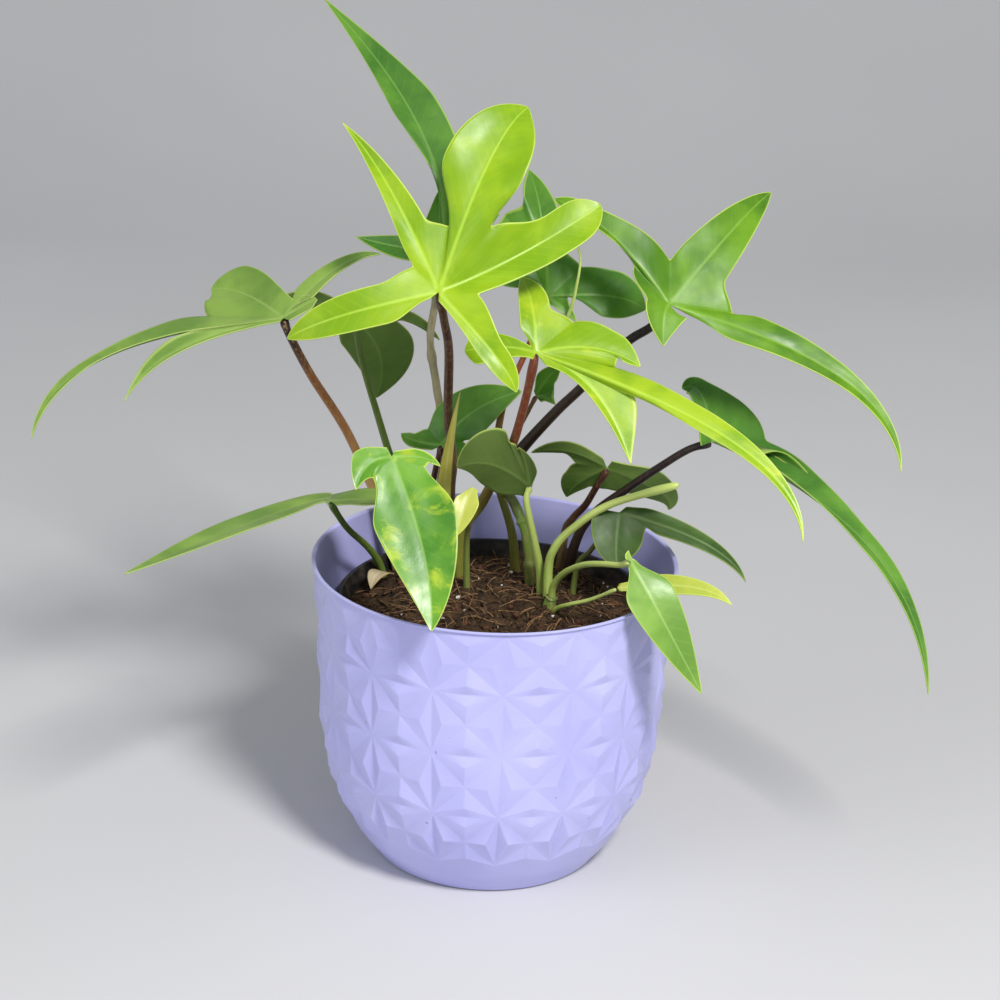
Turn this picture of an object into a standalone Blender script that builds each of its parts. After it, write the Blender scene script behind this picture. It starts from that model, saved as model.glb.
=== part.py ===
"""A potted philodendron: a faceted plastic outer pot, a nursery pot of peat mix, canes, petioles and lobed blades.

Lengths in the tables are millimetres and are turned into metres where the shapes are made.
The origin is the centre of the outer pot's base, +Z is up and the front of the pot faces -Y.
"""

import math

import bmesh
import bpy
from mathutils import Vector

MM = 0.001

# Outer pot: a smooth rim, then five rows of stars pressed into the wall, then a smooth foot.
POT_HEIGHT = 127.0
RIM_RADIUS = 75.0
RIM_INNER_RADIUS = 73.2
FOOT_RADIUS = 47.5
STAR_COLUMNS = 16
FIRST_STAR_DEGREES = 4.0
STAR_ROWS = ((125.5, 74.8), (99.0, 72.8), (72.0, 71.9), (44.0, 69.3), (18.0, 60.2))
CROSSING_ROWS = ((112.0, 73.6), (85.5, 72.4), (58.0, 71.1), (31.0, 66.2))
VALLEY_DEPTH = 1.7
PEAK_HEIGHT = 0.2
PEAK_INSET = 0.16
FOOT_RING = (6.0, 52.2)
INNER_WALL = ((99.0, 69.5), (72.0, 68.5), (44.0, 65.6), (18.0, 56.0), (8.0, 50.0), (2.5, 45.0))

# Nursery pot standing on the outer pot's floor, and the mix that fills it.
# Each profile is (height, radius), down the outside and then back along the inside.
NURSERY_PROFILE = (
    (110.0, 64.5),
    (104.5, 64.5),
    (103.5, 62.6),
    (3.0, 44.0),
    (3.0, 0.0),
    (5.0, 0.0),
    (5.0, 42.5),
    (103.5, 60.9),
    (110.0, 62.2),
    (110.0, 64.5),
)
MIX_PROFILE = ((107.5, 0.0), (106.5, 20.0), (105.0, 42.0), (103.0, 60.2), (5.6, 41.9), (5.6, 0.0))
TURN_STEPS = 32

BLADE_THICKNESS = 0.5
BLADE_STEPS = 6
BLADE_COLUMNS = (-1.0, -0.5, 0.0, 0.5, 1.0)
CUP = 0.10
SLOWEST_FADE = 1.3
FASTEST_FADE = 4.0
HOLE_CLEARANCE = 0.35
STEM_STEPS = 9

# Blades. Every lobe is (tip, middle of its midrib, half width, where it is widest, how square its end is),
# listed from one side of the petiole notch round to the other. A sinus is the bay between two lobes.
BLADES = {
    "front_lime": dict(
        hub=(-25, -28, 248),
        face=(-0.05, -0.85, 0.52),
        sinuses=((-25, -30, 245), (-10, -29, 248), (-6, -15, 271), (-22, -15, 270), (-35, -23, 256), (-28, -30, 246)),
        lobes=(
            ((6, -44, 214), (-3, -41, 228), 5, 0.48, 1.9),
            ((37, 5, 276), (6, -13, 260), 9, 0.6, 3.2),
            ((7, 15, 311), (-8, -6, 293), 16, 0.37, 2.3),
            ((-66, 18, 302), (-46, -6, 283), 6, 0.12, 1.3),
            ((-83, -28, 227), (-62, -34, 239), 8, 0.23, 2.5),
        ),
    ),
    "right_upper": dict(
        hub=(65, 2, 237),
        face=(0.2, -0.72, 0.66),
        sinuses=((74, 1, 233), (90, 5, 233), (65, 15, 251), (51, 10, 250), (69, -1, 233)),
        lobes=(
            ((158, -25, 179), (135, -9, 212), 7, 0.12, 1.0),
            ((107, 51, 271), (92, 29, 263), 11, 0.12, 1.3),
            ((18, 26, 272), (42, 14, 261), 4, 0.84, 1.7),
            ((63, -9, 223), (63, -3, 233), 9, 0.29, 1.7),
        ),
    ),
    "centre_gold": dict(
        hub=(13, -22, 223),
        face=(0.1, -0.68, 0.73),
        sinuses=((17, -25, 219), (46, -30, 211), (44, -22, 218), (27, -10, 232), (11, -20, 225), (12, -24, 221)),
        lobes=(
            ((51, -47, 187), (36, -31, 211), 4, 0.5, 1.7),
            ((116, -72, 167), (91, -50, 198), 5, 0.36, 1.0),
            ((54, -23, 219), (35, -20, 225), 6, 0.63, 1.7),
            ((6, 7, 245), (11, -9, 238), 6, 0.21, 2.3),
            ((-15, -17, 221), (1, -19, 224), 7, 0.85, 1.8),
        ),
    ),
    "back_dark": dict(
        hub=(18, 36, 228),
        face=(0.1, -0.85, 0.5),
        sinuses=((16, 36, 226), (25, 37, 229), (31, 43, 239), (-1, 51, 258), (16, 36, 229)),
        lobes=(
            ((30, 32, 219), (24, 35, 224), 2, 0.45, 1.7),
            ((58, 42, 222), (43, 37, 229), 10, 0.38, 2.3),
            ((8, 68, 273), (14, 50, 257), 8, 0.12, 1.9),
            ((-18, 44, 239), (2, 39, 236), 6, 0.51, 2.1),
        ),
    ),
    "tall_back": dict(
        hub=(-26, 22, 250),
        face=(-0.2, -0.85, 0.48),
        sinuses=((-24, 20, 248), (-16, 29, 267), (-27, 34, 272), (-29, 20, 246)),
        lobes=(
            ((-3, 28, 264), (-12, 25, 261), 6, 0.37, 1.7),
            ((-80, 96, 336), (-36, 42, 294), 9, 0.58, 1.0),
            ((-61, 35, 251), (-43, 26, 250), 5, 0.32, 1.8),
        ),
    ),
    "right_arching": dict(
        hub=(86, 8, 178),
        face=(0.35, -0.45, 0.82),
        sinuses=((91, 7, 176), (109, -8, 181), (115, 22, 174), (81, 3, 178)),
        lobes=(
            ((133, -4, 159), (109, 7, 175), 2, 0.49, 1.8),
            ((172, -55, 97), (149, -22, 144), 6, 0.6, 1.2),
            ((74, 32, 192), (82, 28, 191), 6, 0.71, 1.7),
        ),
    ),
    "left_arching": dict(
        hub=(-87, 2, 226),
        face=(-0.25, -0.35, 0.9),
        sinuses=((-84, -1, 226), (-82, 8, 230), (-84, 11, 231), (-118, 13, 222), (-119, -3, 222), (-88, 0, 225)),
        lobes=(
            ((-74, 8, 232), (-79, 7, 230), 5, 0.45, 1.7),
            ((-50, 27, 246), (-67, 25, 241), 5, 0.12, 2.0),
            ((-119, 30, 228), (-105, 23, 229), 13, 0.67, 1.6),
            ((-181, -38, 185), (-158, -6, 209), 3, 0.5, 1.6),
            ((-145, -37, 202), (-127, -10, 215), 2, 0.34, 1.7),
        ),
    ),
    "left_hanging": dict(
        hub=(-62, 42, 214),
        face=(-0.1, 0.9, 0.4),
        sinuses=((-58, 40, 220), (-44, 44, 213), (-70, 43, 211), (-64, 39, 221)),
        lobes=(
            ((-26, 51, 203), (-41, 47, 213), 4, 0.4, 1.7),
            ((-53, 61, 173), (-51, 51, 196), 12, 0.26, 2.4),
            ((-91, 35, 224), (-79, 36, 223), 5, 0.39, 1.6),
        ),
    ),
    "front_hanging": dict(
        hub=(-41, -46, 187),
        face=(0.03, -0.8, 0.6),
        sinuses=((-43, -44, 190), (-47, -53, 179), (-28, -48, 184), (-40, -45, 189)),
        lobes=(
            ((-54, -55, 176), (-50, -49, 184), 7, 0.5, 1.0),
            ((-23, -87, 132), (-27, -69, 156), 16, 0.27, 1.4),
            ((-22, -47, 184), (-30, -46, 187), 3, 0.35, 1.7),
        ),
    ),
    "left_low": dict(
        hub=(-67, -8, 153),
        face=(-0.1, 0.05, 0.99),
        sinuses=((-64, -13, 153), (-67, 1, 152), (-68, -13, 153)),
        lobes=(
            ((-41, -11, 155), (-54, -10, 155), 11, 0.55, 1.7),
            ((-141, -83, 149), (-85, -15, 151), 8, 0.65, 1.8),
        ),
    ),
    "mid_dark": dict(
        hub=(-24, 34, 163),
        face=(-0.1, -0.8, 0.6),
        sinuses=((-22, 32, 160), (-15, 34, 165), (-30, 39, 168), (-28, 33, 161)),
        lobes=(
            ((-16, 30, 155), (-18, 32, 159), 5, 0.45, 1.7),
            ((9, 37, 187), (-11, 38, 177), 11, 0.25, 2.3),
            ((-41, 39, 166), (-35, 36, 164), 3, 0.5, 1.7),
        ),
    ),
    "mid_under": dict(
        hub=(13, 14, 154),
        face=(-0.2, 0.9, 0.35),
        sinuses=((12, 16, 148), (4, 3, 177), (14, 15, 153)),
        lobes=(
            ((-17, 3, 165), (-3, 6, 166), 12, 0.23, 2.4),
            ((8, 5, 174), (11, 10, 165), 4, 0.3, 1.6),
        ),
    ),
    "mid_yellow": dict(
        hub=(-10, 0, 158),
        face=(0, -0.8, 0.6),
        sinuses=((-12, 0, 157), (-8, -1, 157)),
        lobes=(
            ((-16, -12, 141), (-14, -7, 148), 5, 0.23, 1.8),
        ),
    ),
    "right_under": dict(
        hub=(45, 30, 157),
        face=(0, 0.88, 0.45),
        sinuses=((47, 28, 161), (45, 35, 146), (32, 29, 159), (43, 28, 162)),
        lobes=(
            ((72, 41, 135), (68, 36, 145), 9, 0.32, 1.1),
            ((29, 39, 140), (34, 34, 149), 6, 0.39, 1.6),
            ((13, 26, 164), (28, 25, 166), 4, 0.48, 1.7),
        ),
    ),
    "right_dark": dict(
        hub=(50, 8, 146),
        face=(0.1, -0.8, 0.6),
        sinuses=((44, 8, 147), (61, 5, 141), (53, 10, 148)),
        lobes=(
            ((50, -6, 128), (49, -1, 134), 11, 0.12, 1.9),
            ((103, 0, 120), (86, 4, 135), 5, 0.12, 1.3),
        ),
    ),
    "front_drooping": dict(
        hub=(53, -44, 146),
        face=(0.3, -0.85, 0.42),
        sinuses=((52, -45, 144), (55, -43, 146), (51, -44, 147)),
        lobes=(
            ((83, -60, 97), (66, -56, 127), 10, 0.3, 1.8),
            ((52, -42, 150), (52, -43, 148), 1, 0.4, 1.7),
        ),
    ),
    "right_low": dict(
        hub=(49, -26, 127),
        face=(0.1, -0.55, 0.83),
        sinuses=((50, -27, 126), (50, -24, 128)),
        lobes=(
            ((94, -40, 127), (78, -34, 132), 5, 0.25, 1.5),
        ),
    ),
    "centre_small": dict(
        hub=(14, -4, 199),
        face=(0.1, -0.85, 0.5),
        sinuses=((16, -5, 197), (21, -2, 201), (13, -3, 201)),
        lobes=(
            ((22, -5, 196), (18, -4, 198), 1, 0.45, 1.7),
            ((24, 4, 210), (18, 0, 205), 4, 0.44, 1.7),
        ),
    ),
    "old_sheath": dict(
        hub=(-21, 27, 107),
        face=(0.0, -0.9, 0.3),
        sinuses=((-18, 27, 107), (-24, 27, 107)),
        lobes=(((-16, 2, 199), (-22, 18, 150), 3, 0.4, 1.5),),
    ),
    "dry_sheath": dict(
        hub=(-45, 24, 109),
        face=(-0.2, -0.5, 0.85),
        sinuses=((-48, 25, 109), (-42, 23, 109)),
        lobes=(((-51, 8, 108), (-49, 17, 111), 4, 0.4, 1.6),),
    ),
}

# Stems: the points that each one passes through from its root end to its tip, and the radius at either end.
STEMS = {
    "cane_middle": (((16, 26, 88), (15, 25, 106), (13, 27, 126), (8, 32, 137), (3, 38, 144)), 2.6, 2.2),
    "cane_back": (
        ((-24, 48, 88), (-24, 50, 130), (-25, 48, 169), (-27, 46, 185), (-30, 46, 205), (-28, 45, 224),
         (-27, 44, 248), (-26, 44, 259)),
        1.9,
        1.6,
    ),
    "plantlet_base": (((22, 1, 92), (23, 0, 106), (24, -1, 113)), 3.6, 2.6),
    "petiole_front_lime": (
        ((-19, 41, 92), (-20, 34, 140), (-19, 24, 160), (-21, 10, 185), (-21, -7, 217), (-23, -18, 234),
         (-25, -26, 245)),
        2.5,
        1.6,
    ),
    "petiole_right_upper": (
        ((2, 40, 149), (10, 38, 162), (23, 33, 180), (33, 27, 193), (49, 15, 216), (59, 8, 226), (65, 4, 234)),
        2.6,
        1.7,
    ),
    "petiole_centre_gold": (
        ((-15, 33, 92), (-15, 30, 124), (-6, 26, 142), (2, 16, 164), (6, 8, 176), (10, -6, 199), (13, -19, 219)),
        2.8,
        1.6,
    ),
    "petiole_back_dark": (
        ((9, 41, 92), (7, 42, 120), (-1, 46, 147), (0, 46, 171), (4, 44, 187), (10, 42, 203), (18, 39, 225)),
        2.0,
        1.2,
    ),
    "petiole_right_arching": (
        ((29, 36, 92), (33, 34, 120), (40, 30, 136), (53, 24, 150), (65, 18, 162), (77, 12, 173), (85, 9, 175)),
        2.2,
        1.5,
    ),
    "petiole_left_arching": (
        ((-38, 39, 92), (-47, 42, 126), (-54, 44, 142), (-64, 36, 168), (-77, 18, 197), (-85, 6, 218),
         (-87, 2, 223)),
        2.4,
        1.6,
    ),
    "petiole_left_hanging": (
        ((-34, 45, 92), (-42, 50, 140), (-46, 48, 153), (-52, 45, 174), (-58, 40, 197), (-60, 37, 209),
         (-62, 39, 213)),
        1.9,
        1.2,
    ),
    "petiole_left_low": (((-44, 32, 92), (-48, 32, 108), (-53, 24, 120), (-61, 6, 136), (-66, -7, 150)), 1.8, 1.3),
    "petiole_mid_dark": (((-28, 34, 92), (-28, 38, 130), (-27, 39, 146), (-25, 37, 160)), 1.7, 1.2),
    "petiole_mid_under": (((20, 17, 92), (19, 14, 114), (16, 12, 130), (12, 11, 148), (12, 11, 155)), 2.2, 1.2),
    "petiole_mid_yellow": (((-11, 20, 92), (-12, 14, 127), (-11, 8, 140), (-9, 3, 155)), 1.5, 1.0),
    "petiole_right_under": (
        ((27, 46, 92), (29, 44, 121), (32, 40, 130), (37, 36, 138), (41, 31, 148), (44, 27, 156)),
        1.9,
        1.4,
    ),
    "petiole_right_dark": (((32, 18, 92), (34, 16, 118), (39, 14, 126), (44, 12, 135), (49, 10, 144)), 1.3, 1.0),
    "petiole_front_drooping": (
        ((24, -2, 116), (28, -8, 125), (35, -18, 133), (42, -28, 138), (49, -38, 142), (52, -42, 144)),
        1.5,
        1.2,
    ),
    "petiole_right_low": (((27, -8, 92), (28, -9, 108), (31, -14, 114), (39, -20, 119), (48, -25, 125)), 1.2, 0.8),
    "petiole_centre_small": (((6, 22, 172), (10, 10, 185), (14, -1, 196)), 1.2, 0.9),
    "petiole_tall_back": (((-27, 42, 223), (-26, 34, 236), (-26, 25, 247)), 1.6, 1.3),
    "petiole_front_hanging": (((-20, 22, 92), (-26, 8, 130), (-35, -20, 165), (-40, -41, 184)), 1.9, 1.3),
    "petiole_cut": (((23, 9, 92), (22, 9, 118), (24, 8, 129), (31, 8, 138), (46, 4, 151), (73, -2, 163)), 2.0, 1.6),
    "spear_new_leaf": (
        ((13, 38, 206), (22, 34, 213), (27, 30, 225), (29, 28, 236), (30, 27, 246), (29, 27, 252)),
        1.0,
        0.4,
    ),
}

COLOURS = {
    "outer_pot": (0.50, 0.48, 0.86),
    "nursery_pot": (0.012, 0.012, 0.013),
    "potting_mix": (0.045, 0.025, 0.014),
    "cane_middle": (0.16, 0.26, 0.06),
    "cane_back": (0.42, 0.36, 0.22),
    "plantlet_base": (0.30, 0.24, 0.08),
    "petiole_front_lime": (0.075, 0.032, 0.018),
    "petiole_centre_gold": (0.22, 0.06, 0.03),
    "petiole_back_dark": (0.12, 0.012, 0.010),
    "petiole_left_arching": (0.45, 0.24, 0.11),
    "petiole_right_upper": (0.016, 0.012, 0.010),
    "petiole_right_arching": (0.016, 0.012, 0.010),
    "petiole_cut": (0.50, 0.62, 0.16),
    "petiole_front_drooping": (0.42, 0.52, 0.12),
    "front_lime": (0.38, 0.74, 0.03),
    "centre_gold": (0.46, 0.74, 0.04),
    "right_upper": (0.20, 0.50, 0.05),
    "left_arching": (0.23, 0.50, 0.07),
    "front_hanging": (0.22, 0.50, 0.06),
    "mid_yellow": (0.46, 0.56, 0.06),
    "right_low": (0.50, 0.62, 0.06),
    "old_sheath": (0.55, 0.52, 0.10),
    "dry_sheath": (0.60, 0.50, 0.30),
}
PETIOLE_COLOUR = (0.13, 0.15, 0.04)
BLADE_COLOUR = (0.09, 0.24, 0.05)


def material(name, colour, roughness):
    made = bpy.data.materials.new(name)
    made.use_nodes = True
    shader = made.node_tree.nodes["Principled BSDF"]
    shader.inputs["Base Color"].default_value = (*colour, 1.0)
    shader.inputs["Roughness"].default_value = roughness
    made.diffuse_color = (*colour, 1.0)
    return made


def mesh_object(name, bm, colour, roughness, collection):
    mesh = bpy.data.meshes.new(name)
    bm.to_mesh(mesh)
    bm.free()
    made = bpy.data.objects.new(name, mesh)
    made.data.materials.append(material(name, colour, roughness))
    collection.objects.link(made)
    return made


def on_wall(radius, degrees, height):
    angle = math.radians(degrees)
    return Vector((radius * math.sin(angle), -radius * math.cos(angle), height)) * MM


def ring(bm, radius, height, count, first):
    return [bm.verts.new(on_wall(radius, first + 360.0 * k / count, height)) for k in range(count)]


def bridge(bm, upper, lower):
    """Quads between two rings, wound to face away from the axis when upper is the higher ring."""
    for k in range(len(upper)):
        after = (k + 1) % len(upper)
        bm.faces.new((upper[k], lower[k], lower[after], upper[after]))


def fan(bm, edge, peak):
    """Triangles from a peak to each pair of neighbours along a run of points."""
    for first, second in zip(edge, edge[1:]):
        bm.faces.new((first, second, peak))


def build_outer_pot(collection):
    """Each square between four stars is cut by its diagonals, and each quarter rises to a low peak."""
    bm = bmesh.new()
    round_count = 2 * STAR_COLUMNS
    pitch = 360.0 / STAR_COLUMNS
    stars = [ring(bm, r - VALLEY_DEPTH, z, round_count, FIRST_STAR_DEGREES) for z, r in STAR_ROWS]
    rim = ring(bm, RIM_RADIUS, POT_HEIGHT, round_count, FIRST_STAR_DEGREES)
    bridge(bm, rim, stars[0])
    for row, (cross_z, cross_r) in enumerate(CROSSING_ROWS):
        top_z, top_r = STAR_ROWS[row]
        low_z, low_r = STAR_ROWS[row + 1]
        for column in range(STAR_COLUMNS):
            at = FIRST_STAR_DEGREES + pitch * column
            left = 2 * column
            right = (left + 2) % round_count
            top = [stars[row][left], stars[row][left + 1], stars[row][right]]
            low = [stars[row + 1][left], stars[row + 1][left + 1], stars[row + 1][right]]
            cross = bm.verts.new(on_wall(cross_r - VALLEY_DEPTH, at + pitch / 2, cross_z))
            quarters = (
                (top[::-1] + [cross, top[2]], top_r, 0.5, top_z + (cross_z - top_z) * 2 * PEAK_INSET),
                (low + [cross, low[0]], low_r, 0.5, low_z + (cross_z - low_z) * 2 * PEAK_INSET),
                ([top[0], low[0], cross, top[0]], cross_r, PEAK_INSET, cross_z),
                ([low[2], top[2], cross, low[2]], cross_r, 1 - PEAK_INSET, cross_z),
            )
            for edge, radius, share, height in quarters:
                between = (radius + cross_r) / 2
                peak = bm.verts.new(on_wall(between + PEAK_HEIGHT, at + pitch * share, height))
                fan(bm, edge, peak)
    foot = ring(bm, FOOT_RING[1], FOOT_RING[0], round_count, FIRST_STAR_DEGREES)
    base = ring(bm, FOOT_RADIUS, 0.0, round_count, FIRST_STAR_DEGREES)
    bridge(bm, stars[-1], foot)
    bridge(bm, foot, base)
    bm.faces.new(base[::-1])
    inner = [ring(bm, RIM_INNER_RADIUS, POT_HEIGHT, round_count, FIRST_STAR_DEGREES)]
    for z, r in INNER_WALL:
        inner.append(ring(bm, r, z, round_count, FIRST_STAR_DEGREES))
    bridge(bm, inner[0], rim)
    for upper, lower in zip(inner, inner[1:]):
        bridge(bm, lower, upper)
    bm.faces.new(inner[-1])
    bmesh.ops.recalc_face_normals(bm, faces=bm.faces)
    return mesh_object("outer_pot", bm, COLOURS["outer_pot"], 0.5, collection)


def turned(name, profile, roughness, collection):
    """A profile in the XZ plane spun round the Z axis."""
    bm = bmesh.new()
    points = [bm.verts.new(Vector((r, 0.0, z)) * MM) for z, r in profile]
    for first, second in zip(points, points[1:]):
        bm.edges.new((first, second))
    made = mesh_object(name, bm, COLOURS[name], roughness, collection)
    screw = made.modifiers.new("spin", "SCREW")
    screw.steps = TURN_STEPS
    screw.render_steps = TURN_STEPS
    screw.use_merge_vertices = True
    screw.merge_threshold = 0.00005
    return made


def through(points, share):
    """A point along a smooth path through hand-placed points."""
    span = share * (len(points) - 1)
    k = min(int(span), len(points) - 2)
    t = span - k
    before = points[max(k - 1, 0)]
    after = points[min(k + 2, len(points) - 1)]
    start, end = points[k], points[k + 1]
    leave = (end - before) * 0.5
    arrive = (after - start) * 0.5
    return (
        start * (2 * t**3 - 3 * t**2 + 1)
        + leave * (t**3 - 2 * t**2 + t)
        + end * (3 * t**2 - 2 * t**3)
        + arrive * (t**3 - t**2)
    )


def tube_mesh(name, points, root, tip):
    """A tapering tube along a path, made from a bevelled curve and returned as a closed mesh."""
    curve = bpy.data.curves.new(name, "CURVE")
    curve.dimensions = "3D"
    curve.bevel_depth = MM
    curve.bevel_resolution = 2
    curve.use_fill_caps = True
    line = curve.splines.new("POLY")
    line.points.add(STEM_STEPS - 1)
    path = [Vector(p) for p in points]
    for k in range(STEM_STEPS):
        share = k / (STEM_STEPS - 1)
        line.points[k].co = (*(through(path, share) * MM), 1.0)
        line.points[k].radius = root + (tip - root) * share
    guide = bpy.data.objects.new(name + "_guide", curve)
    bpy.context.scene.collection.objects.link(guide)
    graph = bpy.context.evaluated_depsgraph_get()
    mesh = bpy.data.meshes.new_from_object(guide.evaluated_get(graph))
    bpy.data.objects.remove(guide)
    bpy.data.curves.remove(curve)
    bm = bmesh.new()
    bm.from_mesh(mesh)
    bpy.data.meshes.remove(mesh)
    bmesh.ops.remove_doubles(bm, verts=bm.verts, dist=0.00001)
    bmesh.ops.recalc_face_normals(bm, faces=bm.faces)
    return bm


def lobe_width(share, neck, half, full, squareness):
    if share < full:
        rise = share / full
        return neck + (half - neck) * rise * rise * (3 - 2 * rise)
    return half * (1 - ((share - full) / (1 - full)) ** squareness)


def add_lobe(bm, hub, face, right_sinus, left_sinus, lobe):
    """A grid laid along a curved midrib. Its first row runs from bay to hub to bay, and its last closes to the tip."""
    tip, bend, half, full, squareness = lobe
    tip = Vector(tip)
    control = 2 * Vector(bend) - (hub + tip) / 2

    def frame(share):
        point = hub * (1 - share) ** 2 + control * 2 * share * (1 - share) + tip * share**2
        along = ((control - hub) * (1 - share) + (tip - control) * share).normalized()
        out = (face - along * face.dot(along)).normalized()
        return point, out, out.cross(along)

    _, _, side = frame(0.0)
    right_neck = max(1.0, -(right_sinus - hub).dot(side))
    left_neck = max(1.0, (left_sinus - hub).dot(side))
    deepest = max((right_sinus - hub).length, (left_sinus - hub).length)
    fade = min(FASTEST_FADE, max(SLOWEST_FADE, 1.2 * (control - hub).length / deepest))
    grid = bmesh.ops.create_grid(bm, x_segments=len(BLADE_COLUMNS) - 1, y_segments=BLADE_STEPS, size=1.0)
    for vert in grid["verts"]:
        across = -vert.co.x
        share = (vert.co.y + 1) / 2
        bay, neck = (right_sinus, right_neck) if across < 0 else (left_sinus, left_neck)
        point, out, across_way = frame(share)
        width = lobe_width(share, neck, half, full, squareness)
        lift = CUP * width * across**2 * min(1.0, 3 * share)
        shift = (bay - hub) * abs(across) - side * neck * across
        vert.co = (point + across_way * width * across + out * lift + shift * (1 - share) ** fade) * MM


def build_blade(name, spec, collection):
    bm = bmesh.new()
    hub = Vector(spec["hub"])
    face = Vector(spec["face"]).normalized()
    sinuses = [Vector(s) for s in spec["sinuses"]]
    for right_sinus, left_sinus, lobe in zip(sinuses, sinuses[1:], spec["lobes"]):
        add_lobe(bm, hub, face, right_sinus, left_sinus, lobe)
    bmesh.ops.remove_doubles(bm, verts=bm.verts, dist=0.00005)
    bmesh.ops.triangulate(bm, faces=bm.faces)
    node = name if name.endswith("sheath") else "blade_" + name
    made = mesh_object(node, bm, COLOURS.get(name, BLADE_COLOUR), 0.4, collection)
    thick = made.modifiers.new("thickness", "SOLIDIFY")
    thick.thickness = BLADE_THICKNESS * MM
    thick.offset = 0.0
    return made


def main():
    for old in list(bpy.data.objects):
        bpy.data.objects.remove(old)
    parts = bpy.data.collections.new("potted_philodendron")
    cutters = bpy.data.collections.new("cutters")
    bpy.context.scene.collection.children.link(parts)
    bpy.context.scene.collection.children.link(cutters)
    build_outer_pot(parts)
    turned("nursery_pot", NURSERY_PROFILE, 0.6, parts)
    mix = turned("potting_mix", MIX_PROFILE, 0.95, parts)
    planting = bmesh.new()
    for name, (points, root, tip) in STEMS.items():
        stem = tube_mesh(name, points, root, tip)
        mesh_object(name, stem, COLOURS.get(name, PETIOLE_COLOUR), 0.5, parts)
        if points[0][2] < 100:
            hole = tube_mesh(name, points, root + HOLE_CLEARANCE, tip + HOLE_CLEARANCE)
            lowest = min(hole.verts, key=lambda v: v.co.z).co.z
            for vert in hole.verts:
                if vert.co.z < lowest + 0.002:
                    vert.co.z -= HOLE_CLEARANCE * MM
            scratch = bpy.data.meshes.new(name)
            hole.to_mesh(scratch)
            hole.free()
            planting.from_mesh(scratch)
            bpy.data.meshes.remove(scratch)
    holes = mesh_object("planting_holes", planting, (0.5, 0.5, 0.5), 0.5, cutters)
    holes.hide_render = True
    holes.display_type = "WIRE"
    cut = mix.modifiers.new("planting", "BOOLEAN")
    cut.operation = "DIFFERENCE"
    cut.solver = "EXACT"
    cut.object = holes
    for name, spec in BLADES.items():
        build_blade(name, spec, parts)


main()
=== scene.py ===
# %% [markdown]
# # A potted philodendron
# This lesson dresses a packed plant model. The frame holds each pot, stem and blade at its real size. Every
# cell below models one kind of piece again, finer, in the same place, and gives it a finish. Read it from
# top to bottom: pots, soil, leaves, stems, then floor, lamps and camera.

# %% Load the frame
import math
import random

import bmesh
import bpy
from mathutils import Matrix, Vector, noise


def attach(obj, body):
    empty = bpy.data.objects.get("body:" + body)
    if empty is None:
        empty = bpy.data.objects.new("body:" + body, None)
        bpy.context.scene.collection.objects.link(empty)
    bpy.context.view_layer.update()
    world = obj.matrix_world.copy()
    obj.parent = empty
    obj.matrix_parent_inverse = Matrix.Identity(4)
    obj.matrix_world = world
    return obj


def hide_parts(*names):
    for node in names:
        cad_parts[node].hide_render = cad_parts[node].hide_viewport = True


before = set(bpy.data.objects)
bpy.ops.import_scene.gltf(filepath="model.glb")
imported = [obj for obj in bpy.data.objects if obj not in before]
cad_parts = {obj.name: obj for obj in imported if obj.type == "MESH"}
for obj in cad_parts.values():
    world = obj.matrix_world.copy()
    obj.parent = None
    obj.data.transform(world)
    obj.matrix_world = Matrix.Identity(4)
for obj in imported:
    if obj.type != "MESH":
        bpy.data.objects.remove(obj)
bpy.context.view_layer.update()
MM = 0.001


# %% [markdown]
# ## Small helpers
# Most operators act on whatever is selected, and loading the frame leaves all of it selected. So each piece
# starts from an empty selection. `finish_piece` ties a finished mesh to the frame: it rides on the plant's
# only body and hides the plain solid that it stands for.

# %% Selecting and finishing
def fresh_start():
    """Leaves every mode and every object deselected."""
    if bpy.context.mode != "OBJECT":
        bpy.ops.object.mode_set(mode="OBJECT")
    bpy.ops.object.select_all(action="DESELECT")


def only(piece):
    fresh_start()
    piece.select_set(True)
    bpy.context.view_layer.objects.active = piece


def apply_modifiers(piece):
    only(piece)
    for modifier in list(piece.modifiers):
        bpy.ops.object.modifier_apply(modifier=modifier.name)


def join_pieces(pieces, name):
    only(pieces[0])
    for piece in pieces:
        piece.select_set(True)
    bpy.ops.object.join()
    joined = bpy.context.view_layer.objects.active
    joined.name = name
    return joined


def merge_doubles(piece, distance=0.00002):
    only(piece)
    bpy.ops.object.mode_set(mode="EDIT")
    bpy.ops.mesh.select_all(action="SELECT")
    bpy.ops.mesh.remove_doubles(threshold=distance)
    bpy.ops.object.mode_set(mode="OBJECT")


def finish_piece(piece, slot, *nodes):
    """Ties a finished piece to the frame; loose extras stand for no node."""
    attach(piece, "root")
    if nodes:
        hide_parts(*nodes)
    print(piece.name, len(piece.data.polygons), "faces, stands for", nodes or "nothing")


# %% [markdown]
# ## Mixing finishes
# A finish is a small graph of nodes. `node` adds one and plugs its inputs in a single line: a number stays
# on the socket, and another node's output is linked. All patterns are worked out from the piece's own
# coordinates, so they hold still from every side.

# %% Node helpers
def start_finish(name, roughness=0.5, specular=0.5):
    finish = bpy.data.materials.new(name)
    finish.use_nodes = True
    shader = finish.node_tree.nodes["Principled BSDF"]
    shader.inputs["Roughness"].default_value = roughness
    shader.inputs["Specular IOR Level"].default_value = specular
    return finish, finish.node_tree, shader


def node(tree, kind, inputs, output=0, **settings):
    made = tree.nodes.new(kind)
    for setting, value in settings.items():
        setattr(made, setting, value)
    for socket, value in inputs.items():
        if isinstance(value, bpy.types.NodeSocket):
            tree.links.new(value, made.inputs[socket])
        else:
            made.inputs[socket].default_value = value
    return made.outputs[output]


def sums(tree, operation, *values):
    return node(tree, "ShaderNodeMath", dict(enumerate(values)), operation=operation)


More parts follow.
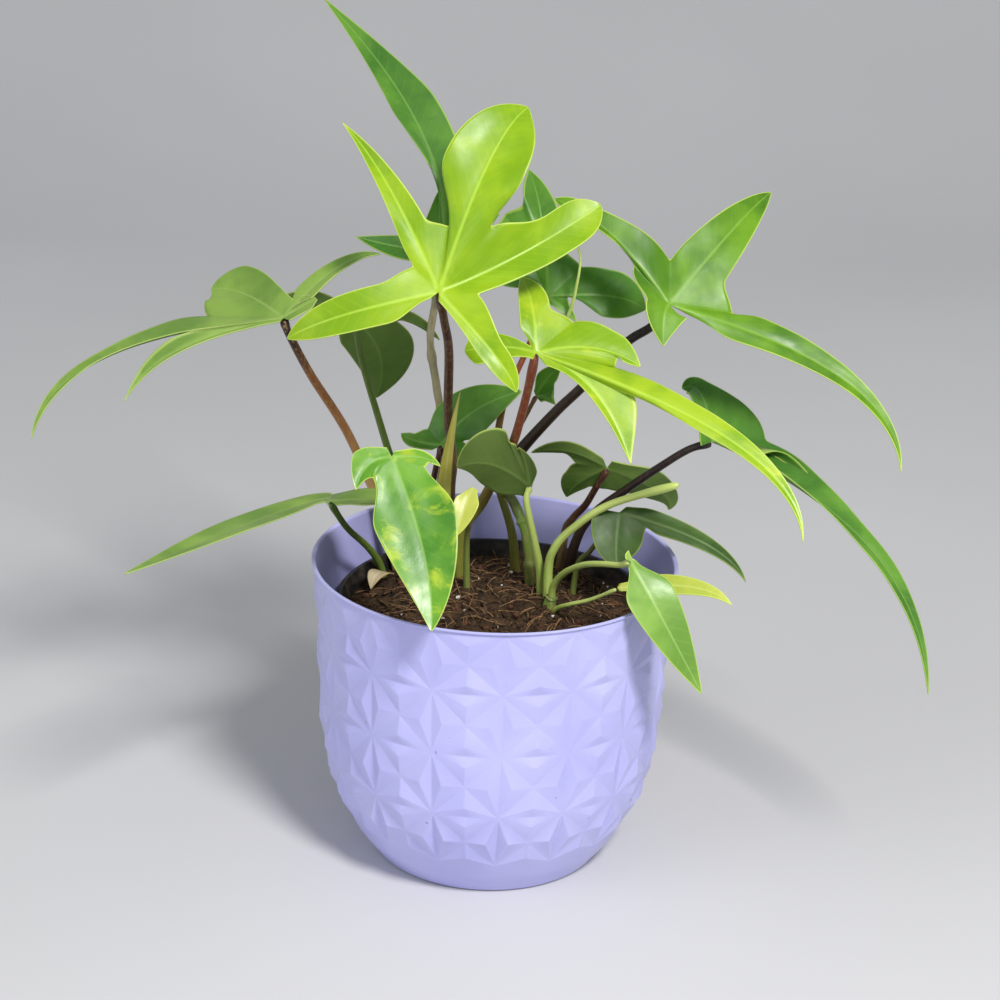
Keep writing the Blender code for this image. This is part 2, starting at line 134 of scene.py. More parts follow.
def opaque(colour):
    return (*colour, 1.0) if isinstance(colour, tuple) else colour


def mix(tree, share, low, high):
    inputs = {0: share, 6: opaque(low), 7: opaque(high)}
    return node(tree, "ShaderNodeMix", inputs, output=2, data_type="RGBA")


def step(tree, value, low, high, out_low=0.0, out_high=1.0):
    inputs = {0: value, 1: low, 2: high, 3: out_low, 4: out_high}
    return node(tree, "ShaderNodeMapRange", inputs, interpolation_type="SMOOTHSTEP")


def grain(tree, where, scale, detail=2.0, roughness=0.5, distortion=0.0):
    inputs = {"Vector": where, "Scale": scale, "Detail": detail}
    inputs |= {"Roughness": roughness, "Distortion": distortion}
    return node(tree, "ShaderNodeTexNoise", inputs)


def object_place(tree):
    return node(tree, "ShaderNodeTexCoord", {}, output=3)


def map_place(tree, name):
    """The parts of one of the piece's own maps."""
    return node(tree, "ShaderNodeSeparateXYZ", {0: node(tree, "ShaderNodeUVMap", {}, uv_map=name)}).node


def raise_skin(tree, shader, height, strength, distance):
    bump = node(tree, "ShaderNodeBump", {"Height": height, "Strength": strength, "Distance": distance})
    tree.links.new(bump, shader.inputs["Normal"])


def let_light_in(shader, weight, tint, scale):
    """Constants for light that enters a thin or cloudy material; each stays on its own socket."""
    shader.inputs["Subsurface Weight"].default_value = weight
    shader.inputs["Subsurface Radius"].default_value = tint
    shader.inputs["Subsurface Scale"].default_value = scale


# %% [markdown]
# ## The lavender pot
# The real pot is injection moulded. Its wall carries rows of eight-armed stars: each square between four
# stars is cut by its diagonals, and each quarter rises to a low peak. It could be carved facet by facet,
# but two pokes make the whole pattern. The first raises nothing and puts a crossing in the middle of every
# square, the second lifts a peak in every quarter. The rings of the wall have eight points a column, so
# rims stay round. Each ring below is a height and a radius.

# %% Pot sizes, in millimetres
POT_HEIGHT = 127.0
RIM_RADIUS = 75.0
STAR_COLUMNS = 16
POINTS_PER_COLUMN = 8
AROUND = STAR_COLUMNS * POINTS_PER_COLUMN
FIRST_STAR = math.radians(4.0)
VALLEY = 1.2
PEAK_HEIGHT = 0.15
PEAK_INSET = 0.17
STAR_ROWS = ((125.5, 74.8), (99.0, 72.8), (72.0, 71.9), (44.0, 69.3), (18.0, 60.2))
CROSSINGS = ((112.0, 73.6), (85.5, 72.4), (58.0, 71.1), (31.0, 66.2))
ROUND_RINGS_UP = ((126.6, 75.0), (127.0, 74.6), (127.0, 73.5), (126.5, 73.0))
INSIDE_RINGS = ((99.0, 70.0), (72.0, 68.6), (44.0, 65.6), (18.0, 56.0), (8.0, 49.8), (2.5, 44.0))
FOOT_RINGS = ((12.0, 56.2), (6.0, 52.0), (2.0, 48.8), (0.4, 47.9), (0.0, 47.3))


def star_angle(k):
    return FIRST_STAR + 2 * math.pi * k / AROUND


def wall_point(radius, angle, height):
    return Vector((radius * math.sin(angle), -radius * math.cos(angle), height)) * MM


def round_angle(place):
    return math.atan2(place.x, -place.y)


def between_stars(place):
    """True where a wall point lies between two columns of stars."""
    k = (round_angle(place) - FIRST_STAR) / (2 * math.pi) * AROUND
    return round(k) % POINTS_PER_COLUMN != 0


def nearest_ring(rings, place):
    return min(rings, key=lambda ring: abs(ring[0] * MM - place.z))


print(STAR_COLUMNS, "columns by", len(STAR_ROWS), "rows of stars")


# %% Star wall: a cylinder's squares, poked twice
UPRIGHT = 0.005


def rise(edge):
    return abs(edge.verts[0].co.z - edge.verts[1].co.z)


def make_star_wall():
    fresh_start()
    bpy.ops.mesh.primitive_cylinder_add(vertices=AROUND, radius=RIM_RADIUS * MM, depth=POT_HEIGHT * MM,
                                        end_fill_type="NOTHING", location=(0, 0, POT_HEIGHT * MM / 2))
    wall = bpy.context.object
    bpy.ops.object.transform_apply(location=True)
    bpy.ops.object.mode_set(mode="EDIT")
    bm = bmesh.from_edit_mesh(wall.data)
    for edge in bm.edges:
        edge.select = rise(edge) > UPRIGHT
    bmesh.update_edit_mesh(wall.data)
    bpy.ops.mesh.subdivide(number_cuts=len(STAR_ROWS) - 2)
    bm = bmesh.from_edit_mesh(wall.data)
    heights = sorted({round(v.co.z, 4) for v in bm.verts}, reverse=True)
    for vert in bm.verts:
        z, r = STAR_ROWS[heights.index(round(vert.co.z, 4))]
        k = round(round_angle(vert.co) / (2 * math.pi) * AROUND)
        vert.co = wall_point(r - VALLEY, star_angle(k), z)
    for edge in bm.edges:
        middle = (edge.verts[0].co + edge.verts[1].co) / 2
        edge.select = rise(edge) > UPRIGHT and between_stars(middle)
    bmesh.update_edit_mesh(wall.data)
    bpy.ops.mesh.dissolve_edges(use_verts=False)
    bpy.ops.mesh.select_all(action="SELECT")
    bpy.ops.mesh.poke(offset=0.0)
    place_crossings(wall)
    bpy.ops.mesh.select_all(action="SELECT")
    before = len(bmesh.from_edit_mesh(wall.data).verts)
    bpy.ops.mesh.poke(offset=VALLEY * MM, use_relative_offset=False)
    place_peaks(wall, before)
    bpy.ops.object.mode_set(mode="OBJECT")
    return wall


# %% Crossings and peaks
def place_crossings(wall):
    """Moves each new middle out to the wall, and joins the slivers above and below it into one quarter."""
    bm = bmesh.from_edit_mesh(wall.data)
    crossing_ends = [v for v in bm.verts if len(v.link_edges) > 2 * POINTS_PER_COLUMN]
    for vert in crossing_ends:
        z, r = nearest_ring(CROSSINGS, vert.co)
        vert.co = wall_point(r - VALLEY, round_angle(vert.co), z)
    spokes = [
        edge for vert in crossing_ends for edge in vert.link_edges if between_stars(edge.other_vert(vert).co)
    ]
    bmesh.ops.dissolve_edges(bm, edges=spokes)
    bmesh.update_edit_mesh(wall.data)


def place_peaks(wall, before):
    """Slides each new peak from the middle of its quarter towards the line between two stars."""
    bm = bmesh.from_edit_mesh(wall.data)
    bm.verts.ensure_lookup_table()
    for vert in bm.verts[before:]:
        column = (round_angle(vert.co) - FIRST_STAR) / (2 * math.pi) * STAR_COLUMNS
        across = column % 1.0
        height, radius = nearest_ring(CROSSINGS, vert.co)
        if abs(across - 0.5) < 0.1:
            star_z, star_r = nearest_ring(STAR_ROWS, vert.co)
            height = star_z + (height - star_z) * 2 * PEAK_INSET
            radius = star_r + (radius - star_r) * 2 * PEAK_INSET
            to = 0.5
        else:
            to = PEAK_INSET if across < 0.5 else 1 - PEAK_INSET
        angle = FIRST_STAR + 2 * math.pi * (column - across + to) / STAR_COLUMNS
        vert.co = wall_point(radius + PEAK_HEIGHT, angle, height)
    bmesh.update_edit_mesh(wall.data)


# %% [markdown]
# ### Rim, inside and foot
# The rest of the pot is turned, so it could be spun from a profile. The star wall has two open edges
# already, so each is extruded ring by ring instead, up over the rim and down the inside, and down to the
# foot. That way the whole pot is one closed shell with no seam.

# %% Rings extruded from an open edge
def extrude_rings(piece, rings):
    """Extrudes the selected open edge once per ring and sets the new points on it."""
    for z, r in rings:
        bpy.ops.mesh.extrude_edges_move()
        bm = bmesh.from_edit_mesh(piece.data)
        for vert in bm.verts:
            if vert.select:
                vert.co = wall_point(r, round_angle(vert.co), z)
        bmesh.update_edit_mesh(piece.data)


SAME_HEIGHT = 0.0005


def select_open_edge(piece, height):
    bpy.ops.mesh.select_all(action="DESELECT")
    bpy.ops.mesh.select_mode(type="EDGE")
    bm = bmesh.from_edit_mesh(piece.data)
    for edge in bm.edges:
        if edge.is_boundary and all(abs(v.co.z - height * MM) < SAME_HEIGHT for v in edge.verts):
            edge.select = True
    bm.select_flush_mode()
    bmesh.update_edit_mesh(piece.data)


def close_ring(piece, height):
    """Fills the open edge at this height and pokes the fill, so that the round floor has a middle."""
    select_open_edge(piece, height)
    bpy.ops.mesh.edge_face_add()
    bpy.ops.mesh.poke()


# %% The whole pot
FOLD_WIDTH = 0.35
FOLD_ANGLE = math.radians(16.0)
SMOOTH_ANGLE = math.radians(13.0)


def soften_folds(piece):
    bevel = piece.modifiers.new("soft folds", "BEVEL")
    bevel.width = FOLD_WIDTH * MM
    bevel.segments = 1
    bevel.limit_method = "ANGLE"
    bevel.angle_limit = FOLD_ANGLE
    apply_modifiers(piece)


def make_outer_pot():
    pot = make_star_wall()
    pot.name = "faceted_pot"
    only(pot)
    bpy.ops.object.mode_set(mode="EDIT")
    select_open_edge(pot, STAR_ROWS[0][0])
    extrude_rings(pot, ROUND_RINGS_UP + INSIDE_RINGS)
    close_ring(pot, INSIDE_RINGS[-1][0])
    select_open_edge(pot, STAR_ROWS[-1][0])
    extrude_rings(pot, FOOT_RINGS)
    close_ring(pot, FOOT_RINGS[-1][0])
    bpy.ops.mesh.select_all(action="SELECT")
    bpy.ops.mesh.normals_make_consistent(inside=False)
    bpy.ops.object.mode_set(mode="OBJECT")
    soften_folds(pot)
    only(pot)
    bpy.ops.object.shade_smooth_by_angle(angle=SMOOTH_ANGLE)
    return pot


# %% [markdown]
# ### Its plastic
# Moulded polypropylene: an even lavender with a soft shine, a little cloudiness where the melt cooled, and
# a few specks of soil. The cloud and specks come from noise, and a very fine grain keeps the shine from
# looking like glass.

# %% Lavender plastic
def lavender_finish():
    finish, tree, shader = start_finish("lavender plastic", 0.42, 0.45)
    place = object_place(tree)
    cloud = grain(tree, place, 22.0, 3.0, 0.55)
    colour = mix(tree, step(tree, cloud, 0.3, 0.7), (0.47, 0.47, 0.86), (0.53, 0.53, 0.90))
    specks = step(tree, grain(tree, place, 230.0, 1.0), 0.80, 0.82)
    colour = mix(tree, sums(tree, "MULTIPLY", specks, 0.55), colour, (0.20, 0.15, 0.16))
    scuffs = step(tree, grain(tree, place, 60.0, 6.0, 0.7, 1.2), 0.55, 0.8)
    tree.links.new(colour, shader.inputs["Base Color"])
    tree.links.new(step(tree, scuffs, 0.0, 1.0, 0.36, 0.52), shader.inputs["Roughness"])
    let_light_in(shader, 0.12, (0.9, 0.9, 1.0), 0.002)
    raise_skin(tree, shader, grain(tree, place, 900.0, 2.0), 0.12, 0.0002)
    return finish


outer_pot = make_outer_pot()
outer_pot.data.materials.clear()
outer_pot.data.materials.append(lavender_finish())
finish_piece(outer_pot, "lavender_plastic", "outer_pot")


# %% [markdown]
# ## The nursery pot
# A thin black pot with a rolled rim stands inside. Only its rim shows, dusted with soil. It is a short tube
# whose edge is extruded ring by ring, down the outside and up the inside.

# %% Nursery pot
NURSERY_STEPS = 96
NURSERY_RIM = (110.0, 63.9)
NURSERY_DOWN = (
    (109.4, 64.5), (105.2, 64.5), (104.5, 64.2), (103.8, 62.8), (60.0, 54.6), (3.6, 44.2), (3.0, 43.6),
)
NURSERY_UP = ((5.0, 42.4), (103.5, 60.9), (108.0, 61.9), (110.0, 62.4))


def black_finish():
    finish, tree, shader = start_finish("dusty black plastic", 0.6, 0.4)
    place = object_place(tree)
    dust = step(tree, grain(tree, place, 120.0, 6.0, 0.7), 0.42, 0.72)
    colour = mix(tree, dust, (0.012, 0.012, 0.013), (0.085, 0.062, 0.045))
    tree.links.new(colour, shader.inputs["Base Color"])
    tree.links.new(step(tree, dust, 0.0, 1.0, 0.45, 0.85), shader.inputs["Roughness"])
    raise_skin(tree, shader, grain(tree, place, 500.0, 3.0), 0.2, 0.0003)
    return finish


def make_nursery_pot():
    fresh_start()
    height, radius = NURSERY_RIM
    place = (0, 0, height * MM)
    bpy.ops.mesh.primitive_circle_add(vertices=NURSERY_STEPS, radius=radius * MM, location=place)
    pot = bpy.context.object
    pot.name = "nursery_pot_liner"
    bpy.ops.object.transform_apply(location=True)
    bpy.ops.object.mode_set(mode="EDIT")
    bpy.ops.mesh.select_all(action="SELECT")
    extrude_rings(pot, NURSERY_DOWN)
    close_ring(pot, NURSERY_DOWN[-1][0])
    select_open_edge(pot, height)
    extrude_rings(pot, NURSERY_UP[::-1])
    close_ring(pot, NURSERY_UP[0][0])
    bpy.ops.mesh.select_all(action="SELECT")
    bpy.ops.mesh.normals_make_consistent(inside=False)
    bpy.ops.object.mode_set(mode="OBJECT")
    bpy.ops.object.shade_smooth_by_angle(angle=math.radians(40.0))
    return pot


nursery_pot = make_nursery_pot()
nursery_pot.data.materials.append(black_finish())
finish_piece(nursery_pot, "black_plastic", "nursery_pot")


# %% [markdown]
# ## The potting mix
# Peat, coir fibre and perlite. The bed is a square grid pressed into a disc, which keeps its faces even
# right up to the edge, then roughened by noise of two sizes. Loose bits lie on top: crumbs, curled fibres
# and white perlite. Each kind is modelled once and copied with its own turn, size and place.

# %% Mix bed
BED_RADIUS = 60.3
BED_MIDDLE = 106.6
BED_EDGE = 103.2
BED_CELLS = 120
BED_DEPTH = 12.0
CLOD_SIZE, CLOD_RISE = 8.0, 1.8
CRUMB_SIZE, CRUMB_RISE = 3.0, 1.1


def bed_height(x, y):
    """Height of the mix at a place in millimetres: a low mound with clods and hollows."""
    share = min(1.0, math.hypot(x, y) / BED_RADIUS)
    mound = BED_MIDDLE + (BED_EDGE - BED_MIDDLE) * share**2
    clods = noise.noise(Vector((x, y, 0.0)) / CLOD_SIZE) * CLOD_RISE
    crumbs = noise.fractal(Vector((x, y, 3.0)) / CRUMB_SIZE, 0.9, 2.1, 4) * CRUMB_RISE
    return mound + (clods + crumbs) * (1 - 0.6 * share**6)


def make_bed():
    """A square grid pressed into a disc, with its edge drawn down into a short skirt."""
    fresh_start()
    bpy.ops.mesh.primitive_grid_add(x_subdivisions=BED_CELLS, y_subdivisions=BED_CELLS, size=2.0)
    bed = bpy.context.object
    bed.name = "mix_bed"
    for vert in bed.data.vertices:
        x = vert.co.x * math.sqrt(1 - vert.co.y**2 / 2) * BED_RADIUS
        y = vert.co.y * math.sqrt(1 - vert.co.x**2 / 2) * BED_RADIUS
        vert.co = Vector((x, y, bed_height(x, y))) * MM
    bpy.ops.object.mode_set(mode="EDIT")
    bpy.ops.mesh.select_mode(type="EDGE")
    bpy.ops.mesh.select_all(action="DESELECT")
    bpy.ops.mesh.select_non_manifold()
    bpy.ops.mesh.extrude_edges_move()
    bm = bmesh.from_edit_mesh(bed.data)
    for vert in bm.verts:
        if vert.select:
            vert.co.z = (BED_EDGE - BED_DEPTH) * MM
            vert.co.xy *= 0.96
    bmesh.update_edit_mesh(bed.data)
    bpy.ops.mesh.edge_face_add()
    bpy.ops.mesh.select_all(action="SELECT")
    bpy.ops.mesh.normals_make_consistent(inside=False)
    bpy.ops.object.mode_set(mode="OBJECT")
    bpy.ops.object.shade_smooth()
    return bed


def soil_finish(name, dark, light, scale, roughness=0.92):
    finish, tree, shader = start_finish(name, roughness, 0.25)
    place = object_place(tree)
    patches = step(tree, grain(tree, place, scale, 6.0, 0.75), 0.32, 0.68)
    tree.links.new(mix(tree, patches, dark, light), shader.inputs["Base Color"])
    raise_skin(tree, shader, grain(tree, place, scale * 4, 4.0, 0.7), 0.6, 0.0006)
    return finish


mix_bed = make_bed()
mix_bed.data.materials.append(soil_finish("peat", (0.009, 0.005, 0.003), (0.085, 0.048, 0.024), 300.0))
finish_piece(mix_bed, "potting_mix", "potting_mix")
print("bed reaches", round(max(v.co.z for v in mix_bed.data.vertices) / MM, 1), "mm")


# %% [markdown]
# ### Loose bits
# Crumbs of peat, bark and perlite are one lumpy pebble in different sizes, and coir is a thin curled tube.
# A particle system could scatter them, but its instances would have to be made real afterwards, so a loop
# copies each mesh, turns it, sizes it and sets it on the bed. Each bit has few faces, because there are many.

# %% One pebble and one fibre
LUMPS_PER_METRE = 1900.0
FIBRE_LENGTH = 10.0
FIBRE_RADIUS = 0.22
FIBRE_POINT = 0.03
FIBRE_SIDES = 5


def pebble(name, roughen):
    """An irregular lump a millimetre across, from an icosphere pushed about by noise."""
    fresh_start()
    bpy.ops.mesh.primitive_ico_sphere_add(subdivisions=2, radius=0.5 * MM)
    lump = bpy.context.object
    lump.name = name
    for vert in lump.data.vertices:
        vert.co *= 1 + roughen * noise.noise(vert.co * LUMPS_PER_METRE)
    return lump


def fibre(name, bend):
    """A curled strand ten millimetres long: a five-sided tube with a pointed end."""
    fresh_start()
    bpy.ops.mesh.primitive_grid_add(x_subdivisions=FIBRE_SIDES, y_subdivisions=8, size=1.0)
    strand = bpy.context.object
    strand.name = name
    for vert in strand.data.vertices:
        share = vert.co.y + 0.5
        turn = (vert.co.x + 0.5) * 2 * math.pi
        thick = FIBRE_RADIUS * (1 - share) ** 0.5 + FIBRE_POINT
        curl = bend * (share - 0.5) ** 2
        vert.co = Vector((
            (share - 0.5) * FIBRE_LENGTH,
            curl + thick * math.cos(turn),
            0.7 * math.sin(share * 5.0) + thick * math.sin(turn),
        )) * MM
    merge_doubles(strand, 0.000005)
    bpy.ops.object.mode_set(mode="EDIT")
    bpy.ops.mesh.select_all(action="SELECT")
    bpy.ops.mesh.fill_holes(sides=FIBRE_SIDES)
    bpy.ops.mesh.normals_make_consistent(inside=False)
    bpy.ops.object.mode_set(mode="OBJECT")
    return strand


# %% Scattering them
def scatter(model, name, count, size_range, flat, spread, lift, seed):
    """Copies of one small piece, each with its own mesh, turned, sized and laid on the bed, then joined."""
    draw = random.Random(seed)
    copies = []
    for k in range(count):
        radius = spread * math.sqrt(draw.random())
        angle = draw.uniform(0, 2 * math.pi)
        x, y = radius * math.cos(angle), radius * math.sin(angle)
        size = draw.uniform(*size_range)
        turn = Matrix.Rotation(draw.uniform(0, 2 * math.pi), 4, "Z")
        tilt = Matrix.Rotation(draw.uniform(-flat, flat), 4, "X")
        tilt = tilt @ Matrix.Rotation(draw.uniform(-flat, flat), 4, "Y")
        grow = Matrix.Diagonal((size, size * draw.uniform(0.6, 1.0), size * 0.8, 1))
        place = Matrix.Translation(Vector((x, y, bed_height(x, y) + lift * size)) * MM)
        mesh = model.data.copy()
        mesh.transform(place @ turn @ tilt @ grow)
        copy = bpy.data.objects.new(f"{name}_{k}", mesh)
        bpy.context.scene.collection.objects.link(copy)
        copies.append(copy)
    bpy.data.objects.remove(model)
    return join_pieces(copies, name)


def scatter_bits(name, finish, model, count, sizes, flat, spread, lift, seed, dark, light):
    bits = scatter(model, name, count, sizes, flat, spread, lift, seed)
    bits.data.materials.clear()
    bits.data.materials.append(soil_finish(finish, dark, light, 700.0, 0.85))
    finish_piece(bits, "potting_mix")


scatter_bits("peat_crumbs", "crumbs", pebble("crumb_model", 0.8), count=520, sizes=(0.7, 3.0), flat=1.5,
             spread=58.5, lift=0.15, seed=40, dark=(0.008, 0.005, 0.003), light=(0.075, 0.04, 0.022))
scatter_bits("bark_crumbs", "bark", pebble("bark_model", 0.9), count=110, sizes=(1.5, 4.0), flat=0.5,
             spread=57.0, lift=0.20, seed=41, dark=(0.030, 0.013, 0.007), light=(0.15, 0.07, 0.035))
scatter_bits("perlite", "perlite", pebble("perlite_model", 0.5), count=44, sizes=(0.6, 1.9), flat=1.5,
             spread=57.0, lift=0.25, seed=42, dark=(0.55, 0.53, 0.48), light=(0.88, 0.87, 0.84))
scatter_bits("coir_fibres", "coir", fibre("fibre_model", 2.6), count=420, sizes=(0.4, 1.6), flat=0.45,
             spread=55.0, lift=0.35, seed=43, dark=(0.085, 0.042, 0.018), light=(0.36, 0.21, 0.10))


# %% [markdown]
# ## Leaves
# A leaf of this plant is cut into lobes that meet at the petiole, each with its own pale midrib. Tracing
# the outline and filling it would leave no rib to follow, so every lobe is a grid laid along its midrib:
# the grid's columns run with the rib and its rows cross it. The first row runs from bay to hub to bay, the
# last closes to the tip, and the lobes share their first rows, so they weld into one blade. Each lobe is
# its tip, the middle of its midrib, its half width, where it is widest and how square its end is.

# %% Lobes of each blade, in millimetres
LEAVES = {
    "front_lime": dict(
        look="lime", slot="blade_lime", hub=(-25, -28, 248), face=(-0.05, -0.85, 0.52),
        bays=(
            (-25, -30, 245), (-10, -29, 248), (-6, -15, 271), (-22, -15, 270), (-35, -23, 256),
            (-28, -30, 246),
        ),
        lobes=(
            ((6, -44, 214), (-3, -41, 228), 5, 0.48, 1.9),
            ((37, 5, 276), (6, -13, 260), 9, 0.62, 5.0),
            ((7, 15, 311), (-8, -6, 293), 16, 0.37, 2.3),
            ((-66, 18, 302), (-46, -6, 283), 6, 0.12, 1.3),
            ((-83, -28, 227), (-62, -34, 239), 8, 0.23, 2.5),
        ),
    ),
    "right_upper": dict(
        look="bright", slot="blade_bright", hub=(65, 2, 237), face=(0.2, -0.72, 0.66),
        bays=((74, 1, 233), (90, 5, 233), (65, 15, 251), (51, 10, 250), (69, -1, 233)),
        lobes=(
            ((158, -25, 179), (135, -9, 212), 7, 0.12, 1.0),
            ((107, 51, 271), (92, 29, 263), 11, 0.12, 1.3),
            ((18, 26, 272), (42, 14, 261), 4, 0.84, 1.7),
            ((63, -9, 223), (63, -3, 233), 9, 0.29, 1.7),
        ),
    ),
    "centre_gold": dict(
        look="gold", slot="blade_gold", hub=(13, -22, 223), face=(0.1, -0.68, 0.73),
        bays=(
            (17, -25, 219), (46, -30, 211), (44, -22, 218), (27, -10, 232), (11, -20, 225), (12, -24, 221),
        ),
        lobes=(
            ((51, -47, 187), (36, -31, 211), 4, 0.5, 1.7),
            ((116, -72, 167), (91, -50, 198), 5, 0.36, 1.0),
            ((54, -23, 219), (35, -20, 225), 6, 0.63, 1.7),
            ((6, 7, 245), (11, -9, 238), 6, 0.21, 2.3),
            ((-15, -17, 221), (1, -19, 224), 7, 0.85, 1.8),
        ),
    ),
    "back_dark": dict(
        look="dark", slot="blade_dark", hub=(18, 36, 228), face=(0.1, -0.85, 0.5),
        bays=((16, 36, 226), (25, 37, 229), (31, 43, 239), (-1, 51, 258), (16, 36, 229)),
        lobes=(
            ((30, 32, 219), (24, 35, 224), 2, 0.45, 1.7),
            ((58, 42, 222), (43, 37, 229), 10, 0.38, 2.3),
            ((8, 68, 273), (14, 50, 257), 8, 0.12, 1.9),
            ((-18, 44, 239), (2, 39, 236), 6, 0.51, 2.1),
        ),
    ),
    "tall_back": dict(
        look="dark", slot="blade_dark", hub=(-26, 22, 250), face=(-0.2, -0.85, 0.48),
        bays=((-24, 20, 248), (-16, 29, 267), (-27, 34, 272), (-29, 20, 246)),
        lobes=(
            ((-3, 28, 264), (-12, 25, 261), 6, 0.37, 1.7),
            ((-80, 96, 336), (-36, 42, 294), 9, 0.58, 1.0),
            ((-61, 35, 251), (-43, 26, 250), 5, 0.32, 1.8),
        ),
    ),
    "right_arching": dict(
        look="dark", slot="blade_dark", hub=(86, 8, 178), face=(0.35, -0.45, 0.82),
        bays=((91, 7, 176), (104, -3, 176), (108, 14, 177), (81, 3, 178)),
        lobes=(
            ((133, -4, 159), (109, 7, 175), 2, 0.49, 1.8),
            ((172, -55, 97), (150, -22, 145), 5, 0.45, 1.3),
            ((74, 32, 192), (82, 28, 191), 6, 0.71, 1.7),
        ),
    ),
    "left_arching": dict(
        look="muted", slot="blade_bright", hub=(-87, 2, 226), face=(-0.25, -0.35, 0.9),
        bays=(
            (-84, -1, 226), (-82, 8, 230), (-84, 11, 231), (-118, 13, 222), (-119, -3, 222), (-88, 0, 225),
        ),
        lobes=(
            ((-74, 8, 232), (-79, 7, 230), 5, 0.45, 1.7),
            ((-50, 27, 246), (-67, 25, 241), 5, 0.12, 2.0),
            ((-119, 30, 228), (-105, 23, 229), 13, 0.67, 1.6),
            ((-181, -38, 185), (-158, -6, 209), 3, 0.5, 1.6),
            ((-145, -37, 202), (-127, -10, 215), 2, 0.34, 1.7),
        ),
    ),
    "left_hanging": dict(
        look="olive", slot="blade_olive", hub=(-62, 42, 214), face=(-0.1, 0.9, 0.4),
        bays=((-58, 40, 220), (-44, 44, 213), (-70, 43, 211), (-64, 39, 221)),
        lobes=(
            ((-26, 51, 203), (-41, 47, 213), 4, 0.4, 1.7),
            ((-53, 61, 173), (-51, 51, 196), 12, 0.26, 2.4),
            ((-91, 35, 224), (-79, 36, 223), 5, 0.39, 1.6),
        ),
    ),
    "front_hanging": dict(
        look="fresh", slot="blade_bright", hub=(-41, -46, 187), face=(0.03, -0.8, 0.6),
        bays=((-43, -44, 190), (-47, -53, 179), (-28, -48, 184), (-40, -45, 189)),
        lobes=(
            ((-54, -55, 176), (-50, -49, 184), 7, 0.5, 1.0),
            ((-23, -87, 132), (-27, -69, 156), 16, 0.27, 1.4),
            ((-22, -47, 184), (-30, -46, 187), 3, 0.35, 1.7),
        ),
    ),
    "left_low": dict(
        look="muted", slot="blade_dark", hub=(-67, -8, 153), face=(-0.1, 0.05, 0.99),
        bays=((-64, -13, 153), (-67, 1, 152), (-68, -13, 153)),
        lobes=(
            ((-41, -11, 155), (-54, -10, 155), 11, 0.55, 1.7),
            ((-141, -83, 149), (-85, -15, 151), 8, 0.65, 1.8),
        ),
    ),
    "mid_dark": dict(
        look="dark", slot="blade_dark", hub=(-24, 34, 163), face=(-0.1, -0.8, 0.6),
        bays=((-22, 32, 160), (-15, 34, 165), (-30, 39, 168), (-28, 33, 161)),
        lobes=(
            ((-16, 30, 155), (-18, 32, 159), 5, 0.45, 1.7),
            ((9, 37, 187), (-11, 38, 177), 11, 0.25, 2.3),
            ((-41, 39, 166), (-35, 36, 164), 3, 0.5, 1.7),
        ),
    ),
    "mid_under": dict(
        look="olive", slot="blade_olive", hub=(13, 14, 154), face=(-0.2, 0.9, 0.35),
        bays=((12, 16, 148), (4, 3, 177), (14, 15, 153)),
        lobes=(
            ((-17, 3, 165), (-3, 6, 166), 12, 0.23, 2.4),
            ((8, 5, 174), (11, 10, 165), 4, 0.3, 1.6),
        ),
    ),
    "mid_yellow": dict(
        look="yellow", slot="blade_gold", hub=(-10, 0, 158), face=(0, -0.8, 0.6),
        bays=((-12, 0, 157), (-8, -1, 157)),
        lobes=(((-16, -12, 141), (-14, -7, 148), 5, 0.23, 1.8),),
    ),
    "right_under": dict(
        look="olive", slot="blade_olive", hub=(45, 30, 157), face=(0, 0.88, 0.45),
        bays=((47, 28, 161), (45, 35, 146), (32, 29, 159), (43, 28, 162)),
        lobes=(
            ((72, 41, 135), (68, 36, 145), 9, 0.32, 1.1),
            ((29, 39, 140), (34, 34, 149), 6, 0.39, 1.6),
            ((13, 26, 164), (28, 25, 166), 4, 0.48, 1.7),
        ),
    ),
    "right_dark": dict(
        look="scarred", slot="blade_dark", hub=(50, 8, 146), face=(0.1, -0.8, 0.6),
        bays=((44, 8, 147), (61, 5, 141), (53, 10, 148)),
        lobes=(
            ((50, -6, 128), (49, -1, 134), 11, 0.12, 1.9),
            ((103, 0, 120), (86, 4, 135), 5, 0.12, 1.3),
        ),
    ),
    "front_drooping": dict(
        look="pale", slot="blade_bright", hub=(53, -44, 146), face=(0.3, -0.85, 0.42),
        bays=((52, -45, 144), (55, -43, 146), (51, -44, 147)),
        lobes=(
            ((83, -60, 97), (66, -56, 127), 10, 0.3, 1.8),
            ((52, -42, 150), (52, -43, 148), 1, 0.4, 1.7),
        ),
    ),
    "right_low": dict(
        look="yellow", slot="blade_gold", hub=(49, -26, 127), face=(0.1, -0.55, 0.83),
        bays=((50, -27, 126), (50, -24, 128)),
        lobes=(((94, -40, 127), (78, -34, 132), 5, 0.25, 1.5),),
    ),
    "centre_small": dict(
        look="dark", slot="blade_dark", hub=(14, -4, 199), face=(0.1, -0.85, 0.5),
        bays=((16, -5, 197), (21, -2, 201), (13, -3, 201)),
        lobes=(
            ((22, -5, 196), (18, -4, 198), 1, 0.45, 1.7),
            ((24, 4, 210), (18, 0, 205), 4, 0.44, 1.7),
        ),
    ),
}
print(len(LEAVES), "leaves with", sum(len(leaf["lobes"]) for leaf in LEAVES.values()), "lobes")

# %% One lobe
LOBE_COLUMNS = 14
LOBE_ROWS = 30
CUP = 0.10
RIB_GROOVE = 0.45
GROOVE_REACH = 1.3
VEIN_GAP = 5.5
VEIN_SLANT = 0.9
VEIN_RISE = 0.10
WAVE_LENGTH = 26.0
WAVE_RISE = 0.16
NARROWEST_NECK = 1.0
SLOWEST_FADE = 1.3
FASTEST_FADE = 4.0


